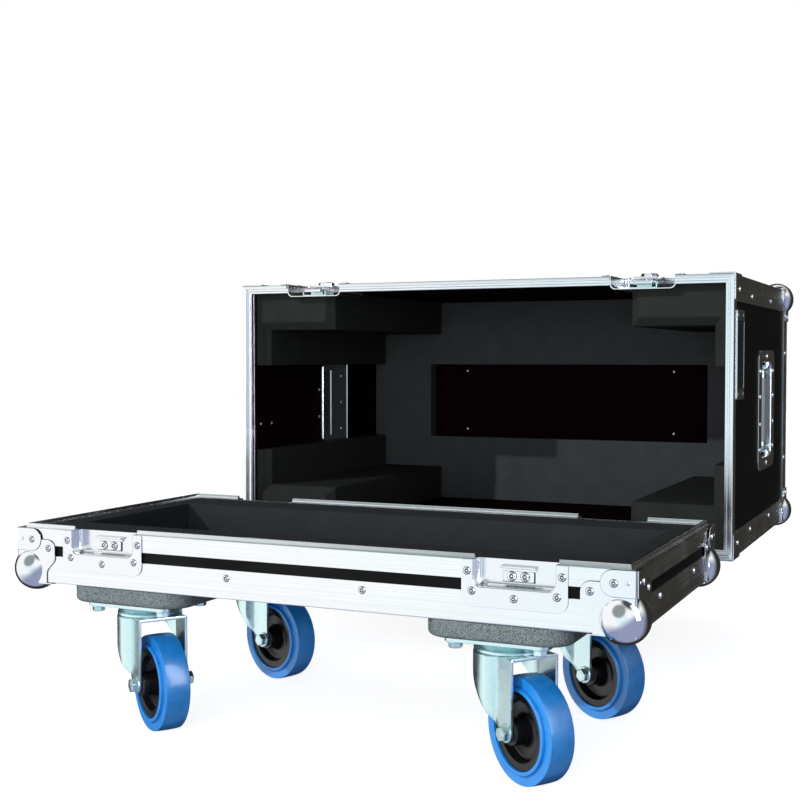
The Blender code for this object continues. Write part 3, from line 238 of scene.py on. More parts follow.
# Pressed steel in bright zinc plate: a cold pale aqua tint, a faint crystal cloud and the sheet's 5 mm waves
ZINC = finish("bright_zinc_steel", "#cfe0df", 1.0, 0.27, (7, 4.0), (0.26, 0.33), ("#d0eaeb", "#dcf5f5"),
              grain=(5, 2.0), relief=(0.02, 0.01))
# Nickel-plated steel, polished to a mirror, with faint wiping marks
NICKEL = finish("polished_nickel_steel", "#e8e9ec", 1.0, 0.07, (14, 5.0, 0.6), (0.045, 0.13),
                span=(0.35, 0.7))
# The flat legs of the corners and dishes: nickel plate with a satin rolled face
SHEET = finish("nickel_sheet_steel", "#eaecef", 1.0, 0.22, (20, 3.0), (0.16, 0.24), grain=(0.7, 3.0),
               relief=(0.03, 0.02))
PLYWOOD = laminated_plywood()
# One foam in three tones of painted light and shade: the crown's pad lighter for light inside the hood, the
# tray's bed and the hood's corner blocks darker
PAD_FOAM = closed_cell_foam("pad_foam", "#323538", "#373a3d")
BED_FOAM = closed_cell_foam("bed_foam", "#292b2d", "#2e3032")
BLOCK_FOAM = closed_cell_foam("block_foam", "#242625", "#292b2a")
BOARD = coated_board()
# Injection-moulded black nylon: a soft gloss with slight orange peel
NYLON = finish("moulded_nylon", "#0b0b0c", 0.0, 0.30, (3, 3.0), (0.24, 0.38), relief=(0.06, 0.1), IOR=1.53)
# Elastic solid rubber in clear blue: a silky gloss with matter, scuffed patches
RUBBER = finish("blue_elastic_rubber", "#2f8fe8", 0.0, 0.36, (12, 4.0), (0.30, 0.44), ("#1470bd", "#1c80cc"),
                grain=(1.2, 3.0), relief=(0.05, 0.1), IOR=1.52,
                **{"Coat Weight": 0.45, "Coat Roughness": 0.14})
# Painted shade: near-black steel in the hollow of a rivet, the slot of a screw, and the dark lines round
# rivet heads and plate edges
PAINTED_SHADE = plain("painted_shade_steel", "#161618", 0.3, 0.6, 0.5, 0.02)
# Ends of screws and rivets inside the hood: painted highlight, a near-white matt finish standing in for their
# glints, so they show as pale dots on the dark wall
GLINT_WHITE = plain("painted_glint_white", "#f6f3f0", 0.1, 0.5, 0.5, 0.02)
# Soft PVC sleeve of the handle, mid grey with a satin moulded face
GRIP = plain("grip_vinyl", "#aab1b3", 0.0, 0.42, 0.9, 0.08)
# The label's sunk field: baked black enamel
ENAMEL = plain("black_enamel", "#08080a", 0.0, 0.5, 1.5, 0.02)


# Shapes: lists of points, faces and the material slot of each face

def moved(shape, matrix):
    """A shape carried by a matrix."""
    points, faces, slots = shape
    if matrix.to_3x3().determinant() < 0:
        faces = [tuple(reversed(face)) for face in faces]
    return [matrix @ Vector(p) for p in points], faces, slots


def joined(*shapes):
    """Several shapes as one."""
    points, faces, slots = [], [], []
    for more_points, more_faces, more_slots in shapes:
        base = len(points)
        points += list(more_points)
        faces += [tuple(base + i for i in face) for face in more_faces]
        slots += more_slots
    return points, faces, slots


def slotted(shape, slot):
    """A shape with every face in one material slot."""
    return shape[0], shape[1], [slot] * len(shape[1])


def shift(x=0.0, y=0.0, z=0.0):
    """A matrix that moves along the axes."""
    return Matrix.Translation((x, y, z))


def turned_by(degrees, axis="Z"):
    """A matrix that turns about an axis."""
    return Matrix.Rotation(math.radians(degrees), 4, axis)


def loft(rings, closed=True, capped=True):
    """Skins rings that have equal numbers of points, in order."""
    count = len(rings[0])
    points = [Vector(p) for ring in rings for p in ring]
    faces = []
    for level in range(len(rings) - 1):
        for i in range(count if closed else count - 1):
            a, b = level * count + i, level * count + (i + 1) % count
            faces.append((a, b, b + count, a + count))
    if capped:
        faces.append(tuple(reversed(range(count))))
        faces.append(tuple(range(len(points) - count, len(points))))
    return points, faces, [0] * len(faces)


def lathe(profile, steps=64, closed=False):
    """A profile of (radius, height) points turned round Z; a closed profile makes a ring."""
    rings = []
    for step in range(steps):
        angle = 2 * math.pi * step / steps
        rings.append([(r * math.cos(angle), r * math.sin(angle), h) for r, h in profile])
    count = len(profile)
    points = [Vector(p) for ring in rings for p in ring]
    faces = []
    for step in range(steps):
        base, after = step * count, (step + 1) % steps * count
        for i in range(count if closed else count - 1):
            j = (i + 1) % count
            corners = [base + i, after + i, after + j, base + j]
            if profile[i][0] == 0:
                corners = [base + i, after + j, base + j]
            elif profile[j][0] == 0:
                corners = [base + i, after + i, base + j]
            faces.append(tuple(corners))
    return points, faces, [0] * len(faces)


def fillet(corners, steps=4):
    """An outline through (u, v, radius) corners, each rounded by its radius."""
    outline = []
    count = len(corners)
    for i, (u, v, radius) in enumerate(corners):
        here = Vector((u, v))
        back = (Vector(corners[i - 1][:2]) - here).normalized()
        ahead = (Vector(corners[(i + 1) % count][:2]) - here).normalized()
        if radius <= 0 or abs(back.dot(ahead)) > 0.999:
            outline.append((u, v))
            continue
        half = math.acos(max(-1, min(1, back.dot(ahead)))) / 2
        centre = here + (back + ahead).normalized() * radius / math.sin(half)
        start = here + back * radius / math.tan(half) - centre
        swing = start.angle_signed(here + ahead * radius / math.tan(half) - centre)
        for step in range(steps + 1):
            turn = -swing * step / steps
            spoke = Vector((start.x * math.cos(turn) - start.y * math.sin(turn),
                            start.x * math.sin(turn) + start.y * math.cos(turn)))
            outline.append(tuple(centre + spoke))
    return outline


def rounded_box_outline(width, height, radius, centre=(0, 0), steps=6):
    """A rectangle with round corners, anticlockwise."""
    x, y = width / 2, height / 2
    corners = [(x, -y), (x, y), (-x, y), (-x, -y)]
    return fillet([(centre[0] + u, centre[1] + v, radius) for u, v in corners], steps)


def bar(section, start, end, start_mitre=0.0, end_mitre=0.0):
    """A section of (depth, height) points along a front wall; a mitre of 1 cuts the end at 45 degrees."""
    first = [(start + start_mitre * d, d, h) for d, h in section]
    last = [(end - end_mitre * d, d, h) for d, h in section]
    return loft([first, last])


def plate(outline, out, thickness, edge, holes=(), grow=0.0):
    """A flat plate before a wall: `out` is the gap behind it, `edge` rounds its rims, `grow` widens it."""
    curve = bpy.data.curves.new("plate", "CURVE")
    curve.dimensions = "2D"
    curve.fill_mode = "BOTH"
    curve.extrude = thickness / 2 - edge
    curve.bevel_depth = edge
    curve.bevel_resolution = 1
    curve.offset = grow - edge
    for points in (outline, *holes):
        spline = curve.splines.new("POLY")
        spline.points.add(len(points) - 1)
        for point, (u, v) in zip(spline.points, points):
            point.co = (u, v, 0, 1)
        spline.use_cyclic_u = True
    return moved(curve_shape(curve), shift(y=-out - thickness / 2) @ turned_by(90, "X"))


def placed(name, data):
    """An object in the scene for a mesh, curve, lamp or camera."""
    made = bpy.data.objects.new(name, data)
    bpy.context.scene.collection.objects.link(made)
    return made


def rounded_edges(made, width, angle):
    """Rounds a piece's edges that are sharper than an angle in degrees."""
    step = made.modifiers.new("rounded_edges", "BEVEL")
    step.width = width * MM
    step.segments = 2
    step.limit_method = "ANGLE"
    step.angle_limit = math.radians(angle)


def curve_shape(curve):
    """The mesh of a curve as a shape; the curve is removed."""
    thing = placed(curve.name, curve)
    bpy.context.view_layer.update()
    mesh = bpy.data.meshes.new_from_object(thing.evaluated_get(bpy.context.evaluated_depsgraph_get()))
    bm = bmesh.new()
    bm.from_mesh(mesh)
    bmesh.ops.remove_doubles(bm, verts=bm.verts, dist=0.001)
    bmesh.ops.recalc_face_normals(bm, faces=bm.faces)
    points = [v.co.copy() for v in bm.verts]
    faces = [tuple(v.index for v in f.verts) for f in bm.faces]
    bm.free()
    bpy.data.meshes.remove(mesh)
    bpy.data.objects.remove(thing, do_unlink=True)
    bpy.data.curves.remove(curve)
    return points, faces, [0] * len(faces)


def rod(points, radius, rounding=3):
    """A round rod along points, bent smoothly."""
    curve = bpy.data.curves.new("rod", "CURVE")
    curve.dimensions = "3D"
    curve.bevel_depth = radius
    curve.bevel_resolution = rounding
    curve.use_fill_caps = True
    spline = curve.splines.new("POLY")
    spline.points.add(len(points) - 1)
    for point, place in zip(spline.points, points):
        point.co = (*place, 1)
    return curve_shape(curve)


def column(plan, *heights):
    """A plan of (x, y) points drawn up through heights."""
    return loft([[(x, y, z) for x, y in plan] for z in heights])


def slab(low, high):
    """A plain block between two corners, for shapes whose edges are rounded afterwards."""
    (x0, y0, z0), (x1, y1, z1) = low, high
    return column([(x0, y0), (x1, y0), (x1, y1), (x0, y1)], z0, z1)


def prism(sides, levels, turn=0.0):
    """A many-sided block through levels of (radius, height)."""
    spokes = [math.radians(360 / sides * i + turn) for i in range(sides)]
    return loft([[(r * math.cos(a), r * math.sin(a), h) for a in spokes] for r, h in levels])


def quarter(steps):
    """Angles through a quarter turn."""
    return [math.pi / 2 * step / steps for step in range(steps + 1)]


def piece(name, shape, body, *finishes, at=None, slot=None, soften=0.0, stands_for=(), sharp=35):
    """Makes a named piece from a shape, rounds its edges if asked, and lets it ride on a body."""
    points, faces, slots = moved(shape, at) if at is not None else shape
    mesh = bpy.data.meshes.new(name)
    mesh.from_pydata([tuple(Vector(p) * MM) for p in points], [], faces)
    for finish in finishes:
        mesh.materials.append(finish)
    mesh.polygons.foreach_set("material_index", slots)
    mesh.validate()
    made = placed(name, mesh)
    if soften:
        rounded_edges(made, soften, 30)
    mesh.shade_smooth()
    mesh.set_sharp_from_angle(angle=math.radians(sharp))
    flat = made.modifiers.new("flat_faces", "WEIGHTED_NORMAL")
    flat.keep_sharp = True
    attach(made, body)
    for node in stands_for:
        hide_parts(node)
    return made


# Frames of the walls and corners

def wall(name, x, height):
    """The frame of a place on the front or rear wall; x runs from the case's middle."""
    if name.startswith("front"):
        return shift(x, FRONT, height)
    return shift(x, REAR, height) @ turned_by(180)


def side_wall(side, y, height):
    """The frame of a place on the left or right wall."""
    return shift(side * HALF_WIDTH, y, height) @ turned_by(90 * side)


def corner(name, height):
    """The frame of an upright edge of the case, which fills +X and +Y from there."""
    x = -HALF_WIDTH if name.endswith("left") else HALF_WIDTH
    y = FRONT if name.startswith("front") else REAR
    return shift(x, y, height) @ turned_by({"front_left": 0, "front_right": 90, "rear_right": 180,
                                            "rear_left": -90}[name])


def dish_x(name):
    """Where a latch stands along its wall."""
    return -DISH_CENTRE if name.endswith("left") else DISH_CENTRE


# Small fasteners

def rivet_shape():
    """Pop rivet: a domed head on a dark seat line of painted shade, and the mandrel's end in its hollow,
    which is painted dark as shade.
    """
    head = [(3.8, 0.0), (3.75, 0.12), (3.3, 0.16), (3.28, 0.45), (3.0, 0.85), (2.5, 1.15), (2.0, 1.22),
            (1.8, 1.1), (1.7, 0.5), (1.0, 0.45), (0.95, 0.9), (0.7, 1.0), (0, 1.0)]
    points, faces, _ = lathe(head, 24)
    reach = [max(points[i].xy.length for i in face) for face in faces]
    # The seat ring and the hollow round the mandrel take the second slot: painted shade
    return moved((points, faces, [int(r > 3.5 or 0.97 < r < 1.9) for r in reach]), turned_by(90, "X"))


def screw_shape():
    """Small countersunk screw with a cross recess, drawn as a dark cross of painted shade."""
    dome = moved(lathe([(2.3, -0.4), (2.3, 0.1), (2.0, 0.35), (1.2, 0.5), (0, 0.52)], 20), turned_by(90, "X"))
    # The recess is a near-black cross standing just proud of the dome: painted shade
    arm = slotted(slab((-1.3, -0.56, -0.25), (1.3, -0.2, 0.25)), 1)
    return joined(dome, moved(arm, turned_by(20, "Y")), moved(arm, turned_by(110, "Y")))


RIVET = rivet_shape()
SCREW = screw_shape()


def fasteners(name, shape, places, body, finish=None):
    """One piece with a fastener at each place, where a place is a frame whose -Y points out."""
    return piece(name, joined(*[moved(shape, at) for at in places]), body, finish or SHEET, PAINTED_SHADE)


# Edge metal

def grooves(heights, width, depth):
    """Points that dip into a section's outer face, from the top down."""
    return [point for h in heights for point in ((0, h + width / 2), (depth, h), (0, h - width / 2))]


def side_frame(side, height):
    """The frame of a whole wall."""
    if side in ("front", "rear"):
        return wall(side, 0, height)
    return side_wall(-1 if side == "left" else 1, MIDDLE, height)


IDENTITY = Matrix.Identity(4)
GROOVE_WIDTH, GROOVE_DEPTH = 0.9, 0.12


def ring_of_bars(name, section, body, height, nodes, at=IDENTITY, notched=False):
    """Mitred bars round the case's plan at one height; the front and rear ones can be open at the latches."""
    for side in ("front", "rear", "left", "right"):
        across = side in ("front", "rear")
        half = HALF_WIDTH if across else DEPTH / 2
        stretches = [("", -half, half, 1, 1)]
        if notched and across:
            inner, outer = DISH_CENTRE - NOTCH_HALF, DISH_CENTRE + NOTCH_HALF
            stretches = [("_left", -half, -outer, 1, 0), ("_middle", -inner, inner, 0, 0),
                         ("_right", outer, half, 0, 1)]
        # The die lines run along the bar
        along = at.to_3x3() @ Vector((across, not across, 0))
        metal = ALUMINIUM["XYZ"[max(range(3), key=lambda i: abs(along[i]))]]
        for stretch, *ends in stretches:
            piece(f"{name}_{side}{stretch}", bar(section, *ends), body, metal,
                  at=at @ side_frame(side, height), stands_for=nodes)


def make_lower_angle():
    """Angle extrusion round the tray's lower edge, with shallow grooves along its face."""
    face, sole = LOWER_TOP - UNDERSIDE, 25.0
    heights = [face - 9.0 - 4.2 * i for i in range(5)]
    section = [(METAL, face), (0.3, face), (0, face - 0.3), *grooves(heights, GROOVE_WIDTH, GROOVE_DEPTH),
               (0, 1.2), (0.35, 0.35), (1.2, 0), (sole, 0), (sole, METAL), (METAL, METAL)]
    ring_of_bars("lower_angle", section, "root", UNDERSIDE, ["tray_lower_angle"])


def make_tray_rim():
    """Tongue extrusion on the tray's edge: grooved face, tapered tongue and inner leg, from the seat."""
    inner_leg = 31.8
    section = [(1.0, 0), (0.3, -0.15), (0, -0.9), *grooves([-6.2, -12.0], GROOVE_WIDTH, GROOVE_DEPTH),
               (0, -RIM_FACE), (METAL, -RIM_FACE), (METAL, -METAL), (RIM_INNER - METAL, -METAL),
               (RIM_INNER - METAL, -inner_leg), (RIM_INNER, -inner_leg), (RIM_INNER, 0.2),
               (RIM_INNER - 1.5, TONGUE - 0.3), (RIM_INNER - 1.9, TONGUE), (6.7, TONGUE),
               (6.1, TONGUE - 0.4), (5.3, 0)]
    ring_of_bars("rim", section, "root", SEAT, ["tray_rim"], notched=True)


def make_mouth_rails():
    """Stepped rim round the hood's mouth, with beads in its rebate and on its leg. Heights from the mouth."""
    rebate, web, step = 4.2, 5.7, 4.7
    beads = [(RIM_INNER + out, middle + up) for middle in (6.8, 13.2)
             for out, up in ((0, -0.8), (0.36, -0.3), (0.36, 0.3), (0, 0.8))]
    section = [(0, RAIL_LEG), (0, 0.9), (0.25, 0.25), (0.9, 0), (step - 0.4, 0), (step, 0.4), (step, rebate),
               (7.2, rebate), (7.5, rebate - 0.35), (7.9, rebate), (RIM_INNER - 0.4, rebate),
               (RIM_INNER, rebate + 0.4), *beads, (RIM_INNER, RAIL_LEG), (RIM_INNER - METAL, RAIL_LEG),
               (RIM_INNER - METAL, web), (METAL, web), (METAL, RAIL_LEG)]
    nodes = [f"mouth_rail_{side}" for side in ("left", "right", "front", "rear")]
    ring_of_bars("mouth_rim", section, "hood", 0, nodes, HOOD, notched=True)


def make_hood_angles():
    """Angles on the hood's crown edges, mitred and rounded, and on its four upright edges."""
    top, low = HOOD_HEIGHT, HOOD_HEIGHT - ANGLE_FACE
    section = [(0, top - 1.6), (0.5, top - 0.5), (1.6, top), (ANGLE_FACE, top), (ANGLE_FACE, top - METAL),
               (METAL, top - METAL), (METAL, low), (0, low)]
    ring_of_bars("crown_angle", section, "hood", 0, ["hood_angles"], HOOD)
    plan = fillet([(0, 0, 1.6), (ANGLE_FACE, 0, 0.3), (ANGLE_FACE, METAL, 0.3), (METAL, METAL, 0),
                   (METAL, ANGLE_FACE, 0.3), (0, ANGLE_FACE, 0.3)], 3)
    upright = column(plan, RAIL_LEG + FIT, low - FIT)
    for name in PLACES:
        piece(f"upright_angle_{name}", upright, "hood", ALUMINIUM["Y"], at=HOOD @ corner(name, 0),
              stands_for=["hood_angles"])


def make_mouth_braces():
    """Corner plates that tie the mouth's rim to the upright angles."""
    gap, sheet, reach, top = FIT, 1.4, 30, 42
    outer = gap + sheet
    plan = fillet([(-outer, -outer, 2.4), (reach, -outer, 0.4), (reach, -gap, 0.3), (-gap, -gap, 1.0),
                   (-gap, reach, 0.3), (-outer, reach, 0.4)], 4)
    shape = moved(plate(plan, METAL, top - METAL, 0.25), turned_by(-90, "X"))
    for name in PLACES:
        piece(f"mouth_brace_{name}", shape, "hood", SHEET, at=HOOD @ corner(name, 0),
              stands_for=["mouth_rail_left", "mouth_rail_right"])


make_lower_angle()
make_tray_rim()
make_mouth_rails()
make_hood_angles()
make_mouth_braces()


# Dishes pressed into the walls

def pocket(outline_at, depth, lip, floor_radius, sheet, closed=True):
    """A pressed sheet hollow behind a wall's face, with a rounded lip, straight walls and a rounded floor.

    An open one lacks the side between its outline's last and first points.
    """
    rings = [(-lip * (1 - math.sin(a)), lip * (1 - math.cos(a))) for a in quarter(3)]
    rings += [(floor_radius * (1 - math.cos(a)), depth - floor_radius * (1 - math.sin(a)))
              for a in quarter(5)]
    inner = [[(u, y, v) for u, v in outline_at(inset)] for inset, y in rings]
    outer = [[(u, y + sheet, v) for u, v in outline_at(inset - sheet)] for inset, y in reversed(rings)]
    points, faces, _ = loft(inner + outer, closed=closed, capped=False)
    count, deepest = len(inner[0]), len(inner) - 1
    first, last = deepest * count, (deepest + 1) * count
    faces += [tuple(range(first, last)), tuple(reversed(range(last, last + count)))]
    if not closed:
        end = (len(inner) + len(outer)) * count
        faces += [tuple(reversed(range(0, end, count))), tuple(range(count - 1, end, count)),
                  (first, last, last + count - 1, last - 1)]
    return points, faces, [0] * len(faces)


KEEPER_DEPTH, LATCH_DEPTH = 14.0, 15.0
DISH_SHEET = 1.0
FLANGE_HALF = 50.2
PIVOT_HEIGHT = 42


def open_dish(sign, half, start, reach, radius, lip, depth, floor_radius, top):
    """A dish and its flange, open along the seam of tray and hood; `sign` is -1 for one below the seam."""
    def outline_at(inset):
        """The hollow, set in."""
        side, end, bend = half - inset, reach - inset, max(radius - inset, 0.5)
        return half_turned([(side, start, 0), (side, end, bend), (-side, end, bend), (-side, start, 0)])

    def half_turned(corners):
        """Rounded corners, upside down below the seam."""
        return fillet([(sign * u, sign * v, r) for u, v, r in corners], 6)

    side, end, bend = half + lip, reach + lip, radius + 1
    flange = half_turned([(FLANGE_HALF, FIT, 1.2), (FLANGE_HALF, top, 10), (-FLANGE_HALF, top, 10),
                          (-FLANGE_HALF, FIT, 1.2), (-side, FIT, 0), (-side, end, bend), (side, end, bend),
                          (side, FIT, 0)])
    hollow = pocket(outline_at, depth + DISH_SHEET, lip, floor_radius, DISH_SHEET, closed=False)
    return joined(plate(flange, FIT, DISH_SHEET, 0.25), moved(hollow, shift(y=-FIT - DISH_SHEET)))


def keeper_catch_shape():
    """The keeper: a plate on the dish's floor, its wider upper edge folded out into the bar for the hook."""
    bar_half, half = 16.8, 14.7
    floor = KEEPER_DEPTH - FIT
    low, top, thickness = -20, -5.8, 2.0
    bar_out, tag_top = floor - 5.0, top - 4.4
    inner = floor - thickness
    fold = fillet([(floor, tag_top, 0), (floor, top, 2.2), (bar_out, top, 0.5),
                   (bar_out, top - thickness, 0.5), (inner, top - thickness, 0.8), (inner, tag_top, 0)], 4)
    tag = moved(plate(rounded_box_outline(2 * half, tag_top - low, 1.2, steps=4), 0, thickness, 0.35),
                shift(y=floor, z=(low + tag_top) / 2))
    # Painted shadow: a dark slab just wider than the tag, behind it, for the shade round its edge
    painted_outline = slab((-half - 0.7, floor - 0.2, low - 0.7), (half + 0.7, floor, tag_top))
    return joined(bar(fold, -bar_half, bar_half), tag, slotted(painted_outline, 1))


def make_keepers():
    """Keeper dishes in the tray's walls. Heights from the seat."""
    dish = open_dish(-1, 38.65, FIT, 24.3, 6.5, 0.8, KEEPER_DEPTH, 2.5, 42.9)
    catch = keeper_catch_shape()
    for name in PLACES:
        at = wall(name, dish_x(name), SEAT)
        piece(f"keeper_dish_{name}", dish, "root", SHEET, at=at, slot="zinc_steel",
              stands_for=[f"latch_keeper_{name}"])
        piece(f"keeper_catch_{name}", catch, "root", SHEET, PAINTED_SHADE, at=at, slot="zinc_steel")


def latch_channel_shape():
    """Channel, hook guide and stud on the dish's floor."""
    floor = 14.8
    half, rise, metal = 17.4, floor - 6.0, 1.5
    section = [(-half, floor), (-half, rise), (-half + metal, rise), (-half + metal, floor - metal),
               (half - metal, floor - metal), (half - metal, rise), (half, rise), (half, floor)]
    guide = slab((-9, 8.3, 14), (9, floor, 37))
    stud = moved(lathe([(0, 0), (4.6, 0), (5, 0.4), (5, 9.6), (0, 9.6)], 32),
                 shift(0, floor, PIVOT_HEIGHT) @ turned_by(90, "X"))
    return joined(column(section, 6, 66), guide, stud)


def wing_shape():
    """Butterfly leaf: a dished plate with turned-up finger lips. Its origin is the pivot."""
    windows = [rounded_box_outline(24, 7, 3, (0, side * 17.5)) for side in (-1, 1)]
    leaf = plate(rounded_box_outline(43.6, 50, 10), -3.0, 2.0, 0.5, windows)
    neck = moved(lathe([(7, 0), (7, 3.5)], 32), shift(y=4.9) @ turned_by(90, "X"))
    lips = [rod([(-15, 0.9, z), (15, 0.9, z)], 1.0) for z in (-24.2, 24.2)]
    return joined(leaf, neck, *lips)


def turret_shape():
    """Eight-sided turret with a screwdriver slot."""
    levels = [(11, -2.0), (11, 3.2), (9.6, 4.8), (6.5, 4.8), (5.8, 3.4)]
    # The slot is a near-black bar standing just proud of the sunk top: painted shade
    slot = slotted(slab((-5.6, -3.9, -1.1), (5.6, -3.0, 1.1)), 1)
    return joined(moved(prism(8, levels, 22.5), turned_by(90, "X")), slot)


def hook_shape():
    """Sliding hook with its tip turned in. Heights from the mouth."""
    half, front, thick, start, tip = 12, 5.5, 2.5, 0.8, 9.9
    end = 35.5
    section = fillet([(front, end, 0.4), (front, start, 1.2), (tip, start, 0.6),
                      (tip, start + thick, 0.4), (front + thick, start + thick, 0.8),
                      (front + thick, end, 0.4)], 3)
    return bar(section, -half, half)


def make_latches():
    """Butterfly latches in the hood's front and rear walls. Heights from the mouth."""
    dish = open_dish(1, 39.35, TONGUE + 2 * FIT, 80, 7, 1.0, LATCH_DEPTH, 6.5, 93)
    parts = (("latch_dish_plate", dish, "hood", [SHEET], 0, 0.0, ["latch_dish"]),
             ("latch_channel", latch_channel_shape(), "hood", [ZINC], 0, 0.3, []),
             ("butterfly_leaf", wing_shape(), "wing", [SHEET], PIVOT_HEIGHT, 0.0, ["latch_wing"]),
             ("turret", turret_shape(), "wing", [NICKEL, PAINTED_SHADE], PIVOT_HEIGHT, 0.25, ["latch_wing"]),
             ("hook", hook_shape(), "hook", [SHEET], 0, 0.35, ["latch_hook"]))
    for name in PLACES:
        for kind, shape, body, finishes, height, soften, nodes in parts:
            piece(f"{kind}_{name}", shape, body if body == "hood" else f"{body}_{name}", *finishes,
                  at=HOOD @ wall(name, dish_x(name), height), slot="zinc_steel", soften=soften,
                  stands_for=[f"{node}_{name}" for node in nodes])


make_keepers()
make_latches()


# Ball corners

BALL_RADIUS, BALL_INSET = 24.0, 13.5
LEG_OUT, LEG_SHEET = FIT, 1.2


def ball_shape():
    """The pressed ball, cut open where the case fills the corner."""
    bm = bmesh.new()
    bmesh.ops.create_uvsphere(bm, u_segments=64, v_segments=40, radius=BALL_RADIUS)
    bmesh.ops.translate(bm, verts=bm.verts, vec=(BALL_INSET, BALL_INSET, BALL_INSET))
    inside = [v for v in bm.verts if min(v.co) > 2.5]
    bmesh.ops.delete(bm, geom=inside, context="VERTS")
    points = [v.co.copy() for v in bm.verts]
    bm.verts.index_update()
    faces = [tuple(v.index for v in f.verts) for f in bm.faces]
    bm.free()
    return points, faces, [0] * len(faces)


def leg_outline():
    """Leg of a tray corner: it swells round its rivet beside the panel strip and draws in at the foot."""
    edge, foot, swell, top = -LEG_OUT, 38, 49, 46
    return fillet([(edge, edge, 0), (foot, edge, 1.0), (foot, 13, 9), (swell, 24, 8),
                   (swell, top, 9.5), (edge, top, 0)], 7)


def tab_outline():
    """Upper tab of a tray corner, round about its rivet."""
    edge, low, high, reach = -LEG_OUT, 33.8, 57.3, 31
    return fillet([(edge, low, 0), (reach, low, 11.6), (reach, high, 11.6), (edge, high, 0)], 8)


def lobe_outline(reach, waist, lobe):
    """Leg with a round lobe along each edge and a waist between them."""
    edge = -LEG_OUT
    return fillet([(edge, edge, 0), (reach, edge, 1.5), (reach, lobe, 8), (waist, lobe, 3),
                   (lobe, waist, 3), (lobe, reach, 8), (edge, reach, 1.5)], 6)


# A matrix that swaps a wall's frame from the front face to the side face round the same upright edge
TO_SIDE = Matrix(((0, 1, 0, 0), (1, 0, 0, 0), (0, 0, 1, 0), (0, 0, 0, 1)))
# The same, to the face below
TO_SOLE = Matrix(((1, 0, 0, 0), (0, 0, 1, 0), (0, 1, 0, 0), (0, 0, 0, 1)))


def edge_fold(low, high):
    """The sheet's rounded fold along an upright edge, between two heights."""
    outer = LEG_OUT + LEG_SHEET
    arc = [(-LEG_OUT - LEG_SHEET * math.cos(a), -LEG_OUT - LEG_SHEET * math.sin(a)) for a in quarter(5)]
    return column([(-outer, 0.5), *arc, (0.5, -outer), (0.5, -LEG_OUT), (-LEG_OUT, -LEG_OUT),
                   (-LEG_OUT, 0.5)], low, high)


def dimple_shape():
    """A small pressed dimple."""
    return moved(lathe([(1.9, 0), (1.5, 0.45), (0.8, 0.7), (0, 0.75)], 20), turned_by(90, "X"))


def painted_shadow_line(outline, out):
    """Painted shadow: a dark line round the foot of a plate's edge, for the shade where it meets what it lies
    on.
    """
    return slotted(plate(outline, out, 0.08, 0.02, grow=0.38), 1)


def tray_corner_shape():
    """Legs, tab, sole and folds of a tray corner."""
    # Leg and tab each lie on a painted shadow line
    leg = joined(plate(leg_outline(), LEG_OUT, LEG_SHEET, 0.25), painted_shadow_line(leg_outline(), 0.02))
    tab = joined(plate(tab_outline(), LEG_OUT + LEG_SHEET, 0.9, 0.25),
                 painted_shadow_line(tab_outline(), LEG_OUT + LEG_SHEET))
    sole = plate(lobe_outline(43, 32.5, 22), LEG_OUT, LEG_SHEET, 0.25)
    dimple = moved(dimple_shape(), shift(6.7, -LEG_OUT - 2.1, 46.2))
    faces = joined(leg, tab, dimple)
    return joined(faces, moved(faces, TO_SIDE), moved(sole, TO_SOLE), edge_fold(-LEG_OUT, 57.2))


def crown_corner_shape():
    """Three lobed legs of a crown corner."""
    leg = plate(lobe_outline(46, 35, 23), LEG_OUT, LEG_SHEET, 0.25)
    return joined(leg, moved(leg, TO_SIDE), moved(leg, TO_SOLE), edge_fold(0, 40),
                  moved(edge_fold(0, 40), turned_by(90, "Y") @ turned_by(90, "Z")))


CROWN_FLIP = Matrix.Rotation(math.pi, 4, Vector((1, 1, 0)))


def make_corners():
    """Ball corners under the tray and on the hood's crown."""
    ball, tray_legs, crown_legs = ball_shape(), tray_corner_shape(), crown_corner_shape()
    for name in PLACES:
        low = corner(name, UNDERSIDE)
        high = HOOD @ corner(name, HOOD_HEIGHT) @ CROWN_FLIP
        for kind, legs, at, body in (("tray", tray_legs, low, "root"), ("hood", crown_legs, high, "hood")):
            piece(f"{kind}_ball_{name}", ball, body, NICKEL, at=at, slot="polished_steel",
                  stands_for=[f"{kind}_corner_{name}"])
            piece(f"{kind}_corner_plates_{name}", legs, body, SHEET, PAINTED_SHADE, at=at, slot="polished_steel")


make_corners()


# Foam

TRAY_FOAM_TOP = SEAT - 1.3
POCKET_SIDE, POCKET_END, POCKET_FLOOR = 35, 69, 12.9
HOOD_FOAM_START = 21.3
BLOCK_REACH, BLOCK_DEPTH, PAD_FACE = 129.5, 60.5, 27.9
BARE_HALF, CROWN_PAD, WINDOW_END, WINDOW_HALF = 59.15, 23.7, 110.3, 58.85
FOAM_CHAMFER = 11
FOAM_EDGE = 1.2


def foam(name, shape, body, finish, node, **settings):
    """A padded piece of foam in the place of a CAD node."""
    piece(name, shape, body, finish, slot="foam", stands_for=[node], **settings)


